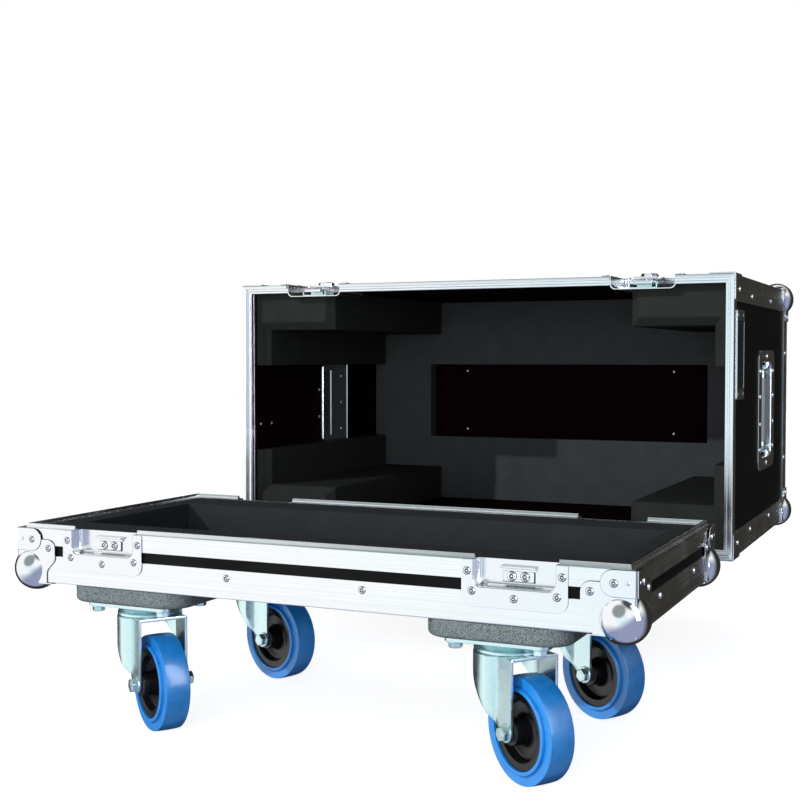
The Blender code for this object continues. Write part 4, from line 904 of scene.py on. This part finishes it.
def make_tray_foam():
    """Foam bed: a frame with a straight-sided pocket, notched at the keepers, over a floor pad."""
    inset = RIM_INNER + FIT
    x, y = HALF_WIDTH - inset, DEPTH / 2 - inset
    half, notch = 40.3, 4.4
    outline = []
    for side in (-1, 1):
        for spot in (side * DISH_CENTRE, -side * DISH_CENTRE):
            outline += [(spot - side * u, side * (y - v), 0)
                        for u, v in ((-half, 0), (-half, notch), (half, notch), (half, 0))]
        outline += [(-side * x, side * y, 4), (-side * x, -side * y, 4)]
    hole = rounded_box_outline(2 * (HALF_WIDTH - POCKET_SIDE), 2 * (DEPTH / 2 - POCKET_END), 2)
    floor = UNDERSIDE + PANEL_INNER + FIT
    at = shift(y=MIDDLE, z=TRAY_FOAM_TOP) @ turned_by(-90, "X") @ Matrix.Scale(-1, 4, (0, 0, 1))
    thickness = TRAY_FOAM_TOP - floor - POCKET_FLOOR
    bed = plate(fillet(outline, 3), -thickness, thickness, FOAM_EDGE, [hole])
    foam("tray_foam_frame", bed, "root", BED_FOAM, "tray_foam", at=at)
    pad = slab((-x, FRONT + inset, floor), (x, REAR - inset, floor + POCKET_FLOOR))
    foam("tray_foam_floor", pad, "root", BED_FOAM, "tray_foam", soften=FOAM_EDGE)


def corner_block_shape():
    """L-shaped block of the hood's upper left corner, in a frame whose origin is that corner of the mouth."""
    start = PANEL_INNER + FIT
    band = DEPTH / 2 - BARE_HALF
    end = HOOD_HEIGHT - start - CROWN_PAD

    def ring(cut, z):
        """The L's outline with its inner sides set back."""
        reach, depth = BLOCK_REACH - cut, BLOCK_DEPTH - cut
        inner = PAD_FACE - cut
        plan = [(start, start), (reach, start), (reach, depth), (inner, depth), (inner, band), (start, band)]
        return [(x, y, z) for x, y in plan]

    return loft([ring(FOAM_CHAMFER, HOOD_FOAM_START), ring(0, HOOD_FOAM_START + FOAM_CHAMFER),
                 ring(0, end - FIT)])


def make_hood_foam():
    """Foam lining of the hood: four corner blocks, and a crown pad with a window."""
    block = corner_block_shape()
    for name in PLACES:
        left, front = name.endswith("left"), name.startswith("front")
        seat = shift(-HALF_WIDTH if left else HALF_WIDTH, FRONT if front else REAR)
        flip = Matrix.Diagonal((1 if left else -1, 1 if front else -1, 1, 1))
        foam(f"foam_block_{name}", block, "hood", BLOCK_FOAM, "hood_foam", at=HOOD @ seat @ flip,
             soften=FOAM_EDGE)
    inset = PANEL_INNER + FIT
    outline = rounded_box_outline(2 * (HALF_WIDTH - inset), DEPTH - 2 * inset, 3)
    hole = rounded_box_outline(2 * (HALF_WIDTH - WINDOW_END), 2 * WINDOW_HALF, 1.5)
    pad = plate(outline, 0, CROWN_PAD, FOAM_EDGE, [hole])
    at = HOOD @ shift(0, MIDDLE, HOOD_HEIGHT - inset) @ turned_by(90, "X")
    foam("foam_crown_pad", pad, "hood", PAD_FOAM, "hood_foam", at=at)


make_tray_foam()
make_hood_foam()


# Castors

def castor_frames():
    """Each castor's name, its swivel's frame with the trail towards -Y, and its wheel's centre."""
    joints = {joint["name"]: joint for joint in frame["joints"]}
    for name in PLACES:
        swivel, wheel = joints[f"swivel_{name}"], joints[f"wheel_{name}"]
        turn = math.atan2(wheel["axis"][1], wheel["axis"][0])
        pivot, centre = [Vector(joint["pos_m"]) / MM for joint in (swivel, wheel)]
        turned = Matrix.Rotation(turn, 4, "Z")
        yield name, shift(pivot.x, pivot.y) @ turned, shift(*centre) @ turned


PLATE_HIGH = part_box("castor_plate_front_left")[1] / MM
BOARD_LOW, BOARD_HIGH = [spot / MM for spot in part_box("castor_board_front_left")]
FORK_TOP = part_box("castor_fork_front_left")[1].z / MM
TRAIL, AXLE_HEIGHT = 32.3, 50
FORK_HALF, FORK_SHEET = 26.75, 3.0
AXLE_SPAN = 68.8


def board_shape():
    """Load board with round corners and a rolled lower edge."""
    size, roll = BOARD_HIGH - BOARD_LOW, 4.5
    levels = [(roll * (1 - math.sin(a)), BOARD_LOW.z + roll * (1 - math.cos(a))) for a in quarter(6)]
    levels += [(0, BOARD_HIGH.z - 0.8), (0.8, BOARD_HIGH.z)]
    rings = []
    for inset, z in levels:
        outline = rounded_box_outline(size.x - 2 * inset, size.y - 2 * inset, 27 - inset, steps=10)
        rings.append([(u, v, z) for u, v in outline])
    return loft(rings)


def hexagon_head(radius, height, chamfer=0.8):
    """A hexagon head with a chamfered top, standing on z = 0."""
    return prism(6, [(radius, 0), (radius, height - chamfer), (radius - chamfer, height)])


def top_plate_shape():
    """Top plate with a pressed dish for the balls below it."""
    top = PLATE_HIGH.z
    outline = rounded_box_outline(102, 86, 8)
    sheet = moved(plate(outline, 0, 4, 0.6), shift(z=top) @ turned_by(90, "X"))
    low = top - 4
    rolled = [(37.5, 0.5), (37.5, -0.8), (36.8, -1.6), (35.5, -2.2), (32, -6.6), (31.2, -7.2), (33.6, -7.6),
              (33.9, -8.0)]
    race = lathe([(r, low + h) for r, h in rolled] + [(33.9, FORK_TOP + FIT), (0, FORK_TOP + FIT)], 72)
    return joined(sheet, race)


def plate_bolts_shape():
    """Four hexagon bolts with washers through the top plate."""
    low = PLATE_HIGH.z - 4
    washer = lathe([(8.4, 0), (8.4, 0.9), (8.0, 1.2), (0, 1.2)], 32)
    bolt = joined(washer, moved(hexagon_head(6.8, 5.2), shift(z=1.2)))
    down = turned_by(180, "X")
    return joined(*[moved(bolt, shift(x * 41, y * 34, low) @ down @ turned_by(17 * x + 9 * y))
                    for x in (-1, 1) for y in (-1, 1)])


def kingpin_shape():
    """Kingpin nut under the fork's crown."""
    crown_under = FORK_TOP - FORK_SHEET
    nut = moved(hexagon_head(10, 3.2, 0.8), shift(z=crown_under - FIT) @ turned_by(180, "X"))
    end = crown_under - 4.6
    pin = lathe([(6, crown_under - FIT), (6, end + 0.6), (5.4, end), (0, end)], 32)
    return joined(nut, pin)


SKIRT_RADIUS = 34.5
FORK_BEND = 2.6
FOOT_RADIUS = 9.5


def fork_path():
    """The fork's plan from its front right: a flat strip, a crease, a round skirt behind, and back."""
    front, crease = -39, -15
    start = math.radians(-14)
    skirt = [(SKIRT_RADIUS * math.cos(a), SKIRT_RADIUS * math.sin(a))
             for a in [start + (math.pi / 2 - start) * i / 24 for i in range(25)]]
    strip = [(FORK_HALF, front + (crease - front) * (1 - math.cos(a))) for a in quarter(16)]
    right = strip + [(FORK_HALF + 1, crease + 1)] + skirt
    return right + [(-x, y) for x, y in reversed(right[:-1])]


def fork_hem(y):
    """How low the fork's sheet reaches along the trail: round the axle, then up to the back in a sweep."""
    axle = -TRAIL + 2.8
    heel = axle + FOOT_RADIUS
    if y < heel:
        return AXLE_HEIGHT - math.sqrt(max(FOOT_RADIUS ** 2 - (y - axle) ** 2, 0))
    return min(AXLE_HEIGHT + 1.3 * (y - heel) - 0.0025 * (y - heel) ** 2, FORK_TOP - 11)


def fork_shape():
    """Pressed fork: flat crown, legs with a creased front strip and a skirt that runs round the back."""
    path = [Vector(point) for point in fork_path()]
    columns = []
    for i, spot in enumerate(path):
        along = (path[min(i + 1, len(path) - 1)] - path[max(i - 1, 0)]).normalized()
        out = Vector((along.y, -along.x))
        bend = [(*(spot - out * FORK_BEND * (1 - math.sin(a))), FORK_TOP - FORK_BEND * (1 - math.cos(a)))
                for a in quarter(4)]
        drop = fork_hem(spot.y) - FORK_TOP + FORK_BEND
        columns.append(bend + [(*spot, FORK_TOP - FORK_BEND + drop * step / 8) for step in range(1, 9)])
    points, faces, slots = loft(columns, closed=False, capped=False)
    crown = tuple(i * len(columns[0]) for i in range(len(columns)))
    return points, faces + [crown], slots + [0]


def make_fork(name, at):
    """The pressed fork as a sheet of real thickness."""
    fork = piece(f"fork_{name}", fork_shape(), f"swivel_{name}", ZINC, at=at, slot="zinc_steel",
                 stands_for=[f"castor_fork_{name}"])
    bm = bmesh.new()
    bm.from_mesh(fork.data)
    bmesh.ops.recalc_face_normals(bm, faces=bm.faces)
    if sum(f.normal.z for f in bm.faces if len(f.verts) > 4) < 0:
        bmesh.ops.reverse_faces(bm, faces=bm.faces)
    bm.to_mesh(fork.data)
    bm.free()
    thick = fork.modifiers.new("sheet", "SOLIDIFY")
    thick.thickness = FORK_SHEET * MM
    thick.offset = -1
    thick.use_even_offset = True
    rounded_edges(fork, 0.3, 50)


def axle_shape():
    """Axle bolt through both legs, with its hexagon head, nut and washers; X is the axle."""
    half, washer_high, tip_high = FORK_HALF + FIT / 2, 1.4, 0.6
    reach = AXLE_SPAN / 2 - half
    washer = lathe([(8.6, 0), (8.6, 1.0), (8.2, washer_high), (0, washer_high)], 48)
    head = moved(hexagon_head(7.5, reach - washer_high - FIT, 1.0), shift(z=washer_high))
    tip = moved(lathe([(4.2, 0), (4.2, 0.5), (0, tip_high)], 24), shift(z=reach - tip_high))
    end = joined(washer, head, tip)
    ends = [moved(end, shift(x=side * half) @ turned_by(90 * side, "Y") @ turned_by(12 * side))
            for side in (-1, 1)]
    pin = moved(lathe([(0, -half), (5, -half), (5, half), (0, half)], 32), turned_by(90, "Y"))
    return joined(pin, *ends)


def hub_profile():
    """Half of the hub's section from its bore outwards: radius and half width."""
    return [(5.3, 22.6), (5.7, 23.2), (11.4, 23.2), (12.0, 22.6), (12.3, 16.0), (12.9, 7.6), (14.6, 5.4),
            (17.0, 4.6), (24.0, 4.4), (26.4, 5.4), (27.4, 7.6), (28.2, 12.6), (28.7, 13.4), (29.4, 13.8),
            (35.2, 13.8), (36.0, 13.4)]


def tyre_profile():
    """Half of the tyre's section from the hub outwards: radius and half width."""
    return [(36.1, 13.6), (36.1, 15.4), (36.5, 15.9), (37.3, 16.1), (39.0, 16.1), (39.7, 15.8), (40.0, 15.2),
            (40.1, 12.5), (40.5, 12.1), (41.1, 12.0), (41.5, 12.3), (41.6, 12.7), (49.0, 12.9), (49.3, 12.8),
            (49.5, 12.5), (49.6, 12.1), (49.9, 8.0), (50.0, 3.0), (50.0, 0.0)]


def wheel_ring(half_profile, steps):
    """A ring from the half of its section, turned on the axle along X."""
    mirrored = [(r, -h) for r, h in reversed(half_profile) if h > 0]
    return moved(lathe(half_profile + mirrored, steps, closed=True), turned_by(90, "Y"))


def make_castors():
    """Four swivel castors."""
    fixed = (("load_board", board_shape(), BOARD, "castor_board", 0.0, ["castor_board"]),
             ("top_plate", top_plate_shape(), ZINC, "zinc_steel", 0.0, ["castor_plate"]),
             ("plate_bolts", plate_bolts_shape(), ZINC, "zinc_steel", 0.2, []),
             ("kingpin", kingpin_shape(), ZINC, "zinc_steel", 0.2, []))
    axle = axle_shape()
    rolling = (("hub", wheel_ring(hub_profile(), 96), NYLON, "black_nylon"),
               ("tyre", wheel_ring(tyre_profile(), 144), RUBBER, "blue_tyre"))
    for name, at, wheel in castor_frames():
        middle = Matrix.Translation(at.translation)
        for kind, shape, metal, slot, soften, nodes in fixed:
            piece(f"{kind}_{name}", shape, "root", metal, at=middle, slot=slot, soften=soften,
                  sharp=50 if kind == "load_board" else 35, stands_for=[f"{node}_{name}" for node in nodes])
        make_fork(name, at)
        piece(f"axle_{name}", axle, f"swivel_{name}", ZINC, at=at @ shift(y=-TRAIL, z=AXLE_HEIGHT),
              slot="zinc_steel", soften=0.25)
        for kind, shape, material, slot in rolling:
            piece(f"{kind}_{name}", shape, f"wheel_{name}", material, at=wheel, slot=slot,
                  stands_for=[f"castor_{kind}_{name}"])


make_castors()


# Handles and label

HANDLE_HEIGHT = 254
HANDLE_FACE = 1.8
# From the panel's outer face in to the handle's shell, which shows inside the hood
SHELL_DEPTH = 11.9
HANDLE_LENGTH, HANDLE_WIDTH = 128, 80.8
HANDLE_RISE, ROD_DEPTH, ROD_RADIUS = 27.2, 4.0, 3.2


def handle_dish_shape():
    """Handle dish: a flange with a raised rim round its recess, and the recess. Y = 0 is the panel's face."""
    sheet, lip, depth = 1.2, 1.6, 10.5
    hole = rounded_box_outline(HANDLE_LENGTH + 2 * lip, HANDLE_WIDTH + 2 * lip, 10 + lip, steps=8)
    flange = plate(rounded_box_outline(160, 132, 14, steps=8), FIT, sheet, 0.35, [hole])

    def outline_at(inset):
        """The recess, set in."""
        return rounded_box_outline(HANDLE_LENGTH - 2 * inset, HANDLE_WIDTH - 2 * inset, 10 - inset, steps=8)

    hollow = moved(pocket(outline_at, depth + FIT + sheet, lip, 3.0, sheet), shift(y=-FIT - sheet))
    lugs = []
    bore = ROD_RADIUS + 0.6
    for side in (-1, 1):
        middle = side * (HANDLE_LENGTH / 2 - 2.6)
        ring = lathe([(bore, -2.5), (bore + 2.2, -2.5), (bore + 2.4, -2.2),
                      (bore + 2.4, 2.2), (bore + 2.2, 2.5), (bore, 2.5)], 32, closed=True)
        lugs.append(moved(ring, shift(middle, ROD_DEPTH, HANDLE_RISE) @ turned_by(90, "Y")))
    return joined(flange, hollow, *lugs)


def handle_rod_points():
    """The bail's bent rod, from one pivot to the other, with its corners rounded."""
    end = HANDLE_LENGTH / 2 - FIT
    arm = HANDLE_LENGTH / 2 - 5.5 - FIT - 4.8
    drop = HANDLE_RISE + 7
    outline = fillet([(end, 20, 0), (end, 0, 0), (arm, 0, 3.0), (arm, -drop, 4.0),
                      (-arm, -drop, 4.0), (-arm, 0, 3.0), (-end, 0, 0), (-end, 20, 0)], 5)
    return [(x, 0, z) for x, z in outline[1:-1]], drop


def sleeve(levels, width, height, radius, drop):
    """A rounded bar along X through levels of (place, scale)."""
    rings = []
    for x, scale in levels:
        outline = rounded_box_outline(width * scale, height * scale, radius * scale)
        rings.append([(x, u, v - drop) for u, v in outline])
    return loft(rings)


# Half of the oval grip, which swells a little at its middle, and the steel collar at its end
GRIP_LEVELS = ((0, 1.0), (21.5, 1.0), (38.7, 0.985), (41.71, 0.95), (43, 0.86))
COLLAR_LEVELS = ((43.2, 0.9), (43.4, 0.97), (48.2, 0.97), (49.0, 0.86))


def make_handles():
    """Recessed bail handles in the hood's side walls."""
    path, drop = handle_rod_points()
    dish = handle_dish_shape()
    both_ways = [(-x, scale) for x, scale in reversed(GRIP_LEVELS[1:])] + list(GRIP_LEVELS)
    grip = sleeve(both_ways, 11, 24, 5.3, drop)
    collars = [sleeve(sorted((end * x, scale) for x, scale in COLLAR_LEVELS), 11, 23, 4.6, drop)
               for end in (-1, 1)]
    bail = joined(rod(path, ROD_RADIUS), *collars)
    beads = joined(*[rod([(-half, 0, z), (half, 0, z)], 0.9) for half, z in ((50, 237.5), (60, 292.6))])
    spots = [(x, z) for x in (-52, -18, 18, 52) for z in (-53.5, 53.5)] + [(-72, 0), (72, 0)]
    for name, side in (("left", -1), ("right", 1)):
        at = HOOD @ shift(side * (HALF_WIDTH - HANDLE_FACE), MIDDLE, HANDLE_HEIGHT) @ turned_by(90 * side)
        shell = HOOD @ shift(side * (HALF_WIDTH - HANDLE_FACE - SHELL_DEPTH), MIDDLE) @ turned_by(-90 * side)
        pivot = at @ shift(y=ROD_DEPTH, z=HANDLE_RISE)
        piece(f"handle_plate_{name}", dish, "hood", SHEET, at=at, slot="zinc_steel",
              stands_for=[f"handle_dish_{name}"])
        fasteners(f"handle_rivets_{name}", RIVET, [at @ shift(x, -1.5, z) for x, z in spots], "hood")
        piece(f"handle_shell_beads_{name}", beads, "hood", SHEET, at=shell, slot="zinc_steel")
        piece(f"bail_rod_{name}", bail, f"bail_{name}", ZINC, at=pivot, slot="zinc_steel",
              stands_for=[f"handle_bail_{name}"])
        piece(f"bail_grip_{name}", grip, f"bail_{name}", GRIP, at=pivot, slot="handle_grip")


def make_label():
    """Bare label plate with a sunk enamel field and four screws."""
    low, high = [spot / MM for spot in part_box("label_plate")]
    middle = (low + high) / 2
    out = min(high.x - HALF_WIDTH, 1.2)
    length, width = high.z - low.z, high.y - low.y
    field_length, field_width = length - 26, width - 6
    at = HOOD @ side_wall(1, 0, 0)
    # In the wall's frame X runs down at rest and Z runs from the mouth to the crown
    local = at.inverted() @ Vector((HALF_WIDTH, middle.y, middle.z))
    spot = at @ shift(local.x, 0, local.z)
    field = rounded_box_outline(field_length, field_width, 2)
    rim = plate(rounded_box_outline(length, width, 3), -1.2, out + 1.2, 0.3, [field])
    piece("label_frame", rim, "hood", SHEET, at=spot, slot="label_metal", stands_for=["label_plate"])
    back = plate(rounded_box_outline(field_length + 2, field_width + 2, 2), -1.0, out + 0.7, 0.1)
    piece("label_field", back, "hood", ENAMEL, at=spot, slot="label_metal")
    spots = [(x * (length / 2 - 6.5), z * (width / 2 - 7)) for x in (-1, 1) for z in (-1, 1)]
    fasteners("label_screws", SCREW, [spot @ shift(x, -out, z) for x, z in spots], "hood", ZINC)


make_handles()
make_label()


# Rivets and screws

def tray_rivets():
    """Places of the rivets on the tray's edge metal, corners and keeper dishes."""
    angle_height = UNDERSIDE + 20.9
    for side in ("front", "rear"):
        for x in (-75, 75):
            yield wall(side, x, angle_height)
    for side in (-1, 1):
        for y in (90.8, 239.9):
            yield side_wall(side, FRONT + y, angle_height)
    skin = LEG_OUT + LEG_SHEET
    for name in PLACES:
        at = corner(name, UNDERSIDE)
        for turn in (IDENTITY, TO_SIDE):
            yield at @ turn @ shift(19.0, -skin - 0.9, 45.6)
            yield at @ turn @ shift(40.3, -skin, 37.0)
        yield at @ TO_SOLE @ shift(37.8, -skin, 11)
        yield at @ TO_SOLE @ shift(11, -skin, 37.8)
        dish = wall(name, dish_x(name), SEAT)
        for x, z in ((-44.8, -10.7), (44.8, -10.7), (-40.2, -28.7), (40.2, -28.7), (0, -33.2)):
            yield dish @ shift(x, -FIT - DISH_SHEET, z)


def keeper_rivets():
    """Places of the two rivets on each keeper catch."""
    for name in PLACES:
        for x in (-6.25, 6.25):
            yield (wall(name, dish_x(name), SEAT) @ shift(x, KEEPER_DEPTH - FIT - 2.0, -15.1)
                   @ Matrix.Scale(1.2, 4))


def hood_rivets():
    """Places of the rivets on the hood's edge metal, braces, corners and latch dishes."""
    inset = 22
    skin = LEG_OUT + LEG_SHEET
    for name in PLACES:
        at = HOOD @ corner(name, 0)
        for turn in (IDENTITY, TO_SIDE):
            for z in (128, 280):
                yield at @ turn @ shift(inset, 0, z)
            yield at @ turn @ shift(17.5, -1.7, 28.5)
        crown = HOOD @ corner(name, HOOD_HEIGHT) @ CROWN_FLIP
        for turn in (IDENTITY, TO_SIDE, TO_SOLE):
            yield crown @ turn @ shift(40, -skin, 12)
            yield crown @ turn @ shift(12, -skin, 40)
        dish = HOOD @ wall(name, dish_x(name), 0)
        for x, z in ((-46, 12), (46, 12), (-46, 46), (46, 46), (-38, 86.8), (38, 86.8), (0, 86.8)):
            yield dish @ shift(x, -FIT - DISH_SHEET, z)
    along_crown = HOOD_HEIGHT - 21
    for side in ("front", "rear"):
        for x in (-224, -75, 75, 224):
            yield HOOD @ wall(side, x, along_crown)
    for side in (-1, 1):
        for y in (-76.5, 76.5):
            yield HOOD @ side_wall(side, MIDDLE + y, along_crown)


def mirrored_out(places):
    """Frames whose handedness is right, so that fasteners aren't turned inside out."""
    for at in places:
        yield at @ Matrix.Scale(-1, 4, (1, 0, 0)) if at.to_3x3().determinant() < 0 else at


def inner_screws():
    """Ends of the screws and rivets that show on the hood's bare inner walls."""
    in_wall = [(z, height) for z in (207.6, 300.0) for height in (340.4, 299.0)]
    in_wall += [(33.8, 295.7), (63.6, 295.7)]
    in_shell = [(271.5, height) for height in (360.5, 319.4, 277.9)]
    for side in (-1, 1):
        for face, ends in ((PANEL_INNER, in_wall), (HANDLE_FACE + SHELL_DEPTH, in_shell)):
            inward = HOOD @ shift(side * (HALF_WIDTH - face)) @ turned_by(-90 * side)
            for z, height in ends:
                yield inward @ shift(side * (height - UNDERSIDE - REAR), 0, z)
    back = HOOD @ shift(0, 0, HOOD_HEIGHT - PANEL_INNER) @ turned_by(90, "X")
    for x in (-170.3, 170.3):
        for height in (367.8, 272.5):
            yield back @ shift(x, 0, height - UNDERSIDE - REAR)


def make_rivets():
    """All rivets and screw ends."""
    fasteners("tray_rivets", RIVET, mirrored_out(tray_rivets()), "root")
    fasteners("keeper_rivets", RIVET, mirrored_out(keeper_rivets()), "root")
    fasteners("hood_rivets", RIVET, mirrored_out(hood_rivets()), "hood")
    small = Matrix.Scale(0.68, 4)
    fasteners("inner_screw_ends", SCREW, [at @ small for at in mirrored_out(inner_screws())], "hood", GLINT_WHITE)


make_rivets()


# Finishes of the nodes that stay

for panel in ("tray_panel", "hood_panel"):
    materials = frame["nodes"][panel].data.materials
    materials.clear()
    materials.append(PLYWOOD)


# Floor, light and camera

def make_floor():
    """A plain pale floor, lifted to the photograph's white; only its contact shadows show."""
    half = 8.0
    mesh = bpy.data.meshes.new("studio_floor")
    mesh.from_pydata([(x, y, 0) for x, y in ((-half, -half), (half, -half), (half, half), (-half, half))], [],
                     [(0, 1, 2, 3)])
    glow = {"Emission Color": linear("#ffffff"), "Emission Strength": 0.8}
    mesh.materials.append(surface("studio_floor", "#f4f4f4", 0.0, 0.8, **glow)[0])
    floor = placed("studio_floor", mesh)
    # The metal reflects the dim lower half of the studio, as in the photograph, and not the white floor
    floor.visible_glossy = False
    floor.visible_diffuse = False
    return floor


# Softly edged tones of the studio: a direction, the two cosines between which each comes in, and its colour.
# What metal mirrors is white in front and to the left, lavender below and to the right, dark behind.
DARK = "#302e2a"
MIRRORED = ((0, 0, -1, 0.35, 0.75, "#8f97b6"),
            (0.1, -0.99, 0, 0.85, 0.95, "#e9fbff"),
            (-0.2, -0.78, 0.59, 0.85, 0.92, "#909b9c"),
            (0.93, -0.10, -0.35, 0.62, 0.90, "#9097b6"),
            (0.60, -0.20, -0.77, 0.30, 0.70, "#969dbb"),
            (0.37, -0.05, 0.93, 0.80, 0.92, "#4c4c50"),
            (0.42, 0.91, 0, 0.55, 0.86, DARK),
            (-0.42, 0.90, -0.15, 0.38, 0.58, DARK))
# The light on matt faces is weaker from above, below and behind
SOFT = ((0, 0, 1, 0.12, 0.60, "#84888a"),
        (0, 0, -1, 0.24, 0.50, "#42444f"),
        (0.93, -0.10, -0.35, 0.62, 0.90, "#8e9296"),
        (0.42, 0.91, 0, 0.55, 0.86, DARK))


def studio_tones(tree, way, tones):
    """White surroundings with tones laid over them, seen along a direction."""
    shade = linear("#ffffff")
    for *direction, low, high, code in tones:
        share = add_node(tree, "ShaderNodeVectorMath", {0: way, 1: direction}, operation="DOT_PRODUCT")
        shade = blend(tree, ramp(tree, share.outputs["Value"], low, high, 0.0, 1.0), shade, linear(code))
    return shade


def make_world():
    """Studio surroundings: one set of tones for metal, one for matt faces, and white behind the object."""
    world = bpy.data.worlds.new("studio")
    bpy.context.scene.world = world
    world.use_nodes = True
    tree = world.node_tree
    way = add_node(tree, "ShaderNodeTexCoord").outputs["Generated"]
    rays = add_node(tree, "ShaderNodeLightPath").outputs
    mirrored, soft = studio_tones(tree, way, MIRRORED), studio_tones(tree, way, SOFT)
    shade = blend(tree, rays["Is Diffuse Ray"], mirrored, soft)
    shade = blend(tree, rays["Is Camera Ray"], shade, linear("#ffffff"))
    back = tree.nodes["Background"]
    tree.links.new(shade, back.inputs["Color"])
    tree.links.new(ramp(tree, rays["Is Glossy Ray"], 0.0, 1.0, 1.0, 1.14), back.inputs["Strength"])


def lamp(kind, name, energy, aim, **settings):
    """A lamp shining along a direction."""
    light = bpy.data.lights.new(name, kind)
    light.energy = energy
    for key, value in settings.items():
        setattr(light, key, value)
    made = placed(name, light)
    made.rotation_euler = aim.to_track_quat("-Z", "Y").to_euler()
    return made


def softbox(name, energy, place, target, width, height):
    """A rectangular area lamp at a place, turned to a target."""
    place = Vector(place)
    made = lamp("AREA", name, energy, Vector(target) - place, shape="RECTANGLE", size=width, size_y=height)
    made.location = place
    return made


def make_lamps(floor):
    """Two softboxes, and a key light over the photographer's left shoulder."""
    # Beside the camera, to light the inside of the hood; the metal mirrors the studio, and not this lamp
    softbox("front_softbox", 26, (0.3, -2.3, 0.45), (0.0, 0.2, 0.3), 1.6, 0.8).visible_glossy = False
    # Low on the right, for the glint on the tyres and balls
    softbox("low_strip", 24, (1.63, -0.85, 0.92), (-0.22, -0.33, 0.05), 0.45, 1.8).visible_diffuse = False
    # Its edge falls across the foam at the hood's crown
    key = lamp("SUN", "key", 2.0, Vector((0.423, 0.802, -0.422)), angle=math.radians(0.8))
    key.visible_glossy = False
    lit = bpy.data.collections.new("lit_by_key")
    lit.objects.link(floor)
    lit.collection_objects[0].light_linking.link_state = "EXCLUDE"
    key.light_linking.receiver_collection = lit


def make_camera():
    """Camera at the photograph's place."""
    camera = bpy.data.cameras.new("camera")
    camera.lens = 57.11
    camera.sensor_width = 36
    camera.clip_start, camera.clip_end = 0.05, 60
    made = placed("camera", camera)
    made.location = (0.6035, -1.5097, 0.3899)
    made.rotation_euler = (math.radians(90 - 1.92), 0, math.radians(24.72))
    bpy.context.scene.camera = made


make_lamps(make_floor())
make_world()
make_camera()
bpy.context.scene.view_settings.view_transform = "Standard"
bpy.context.scene.view_settings.look = "None"
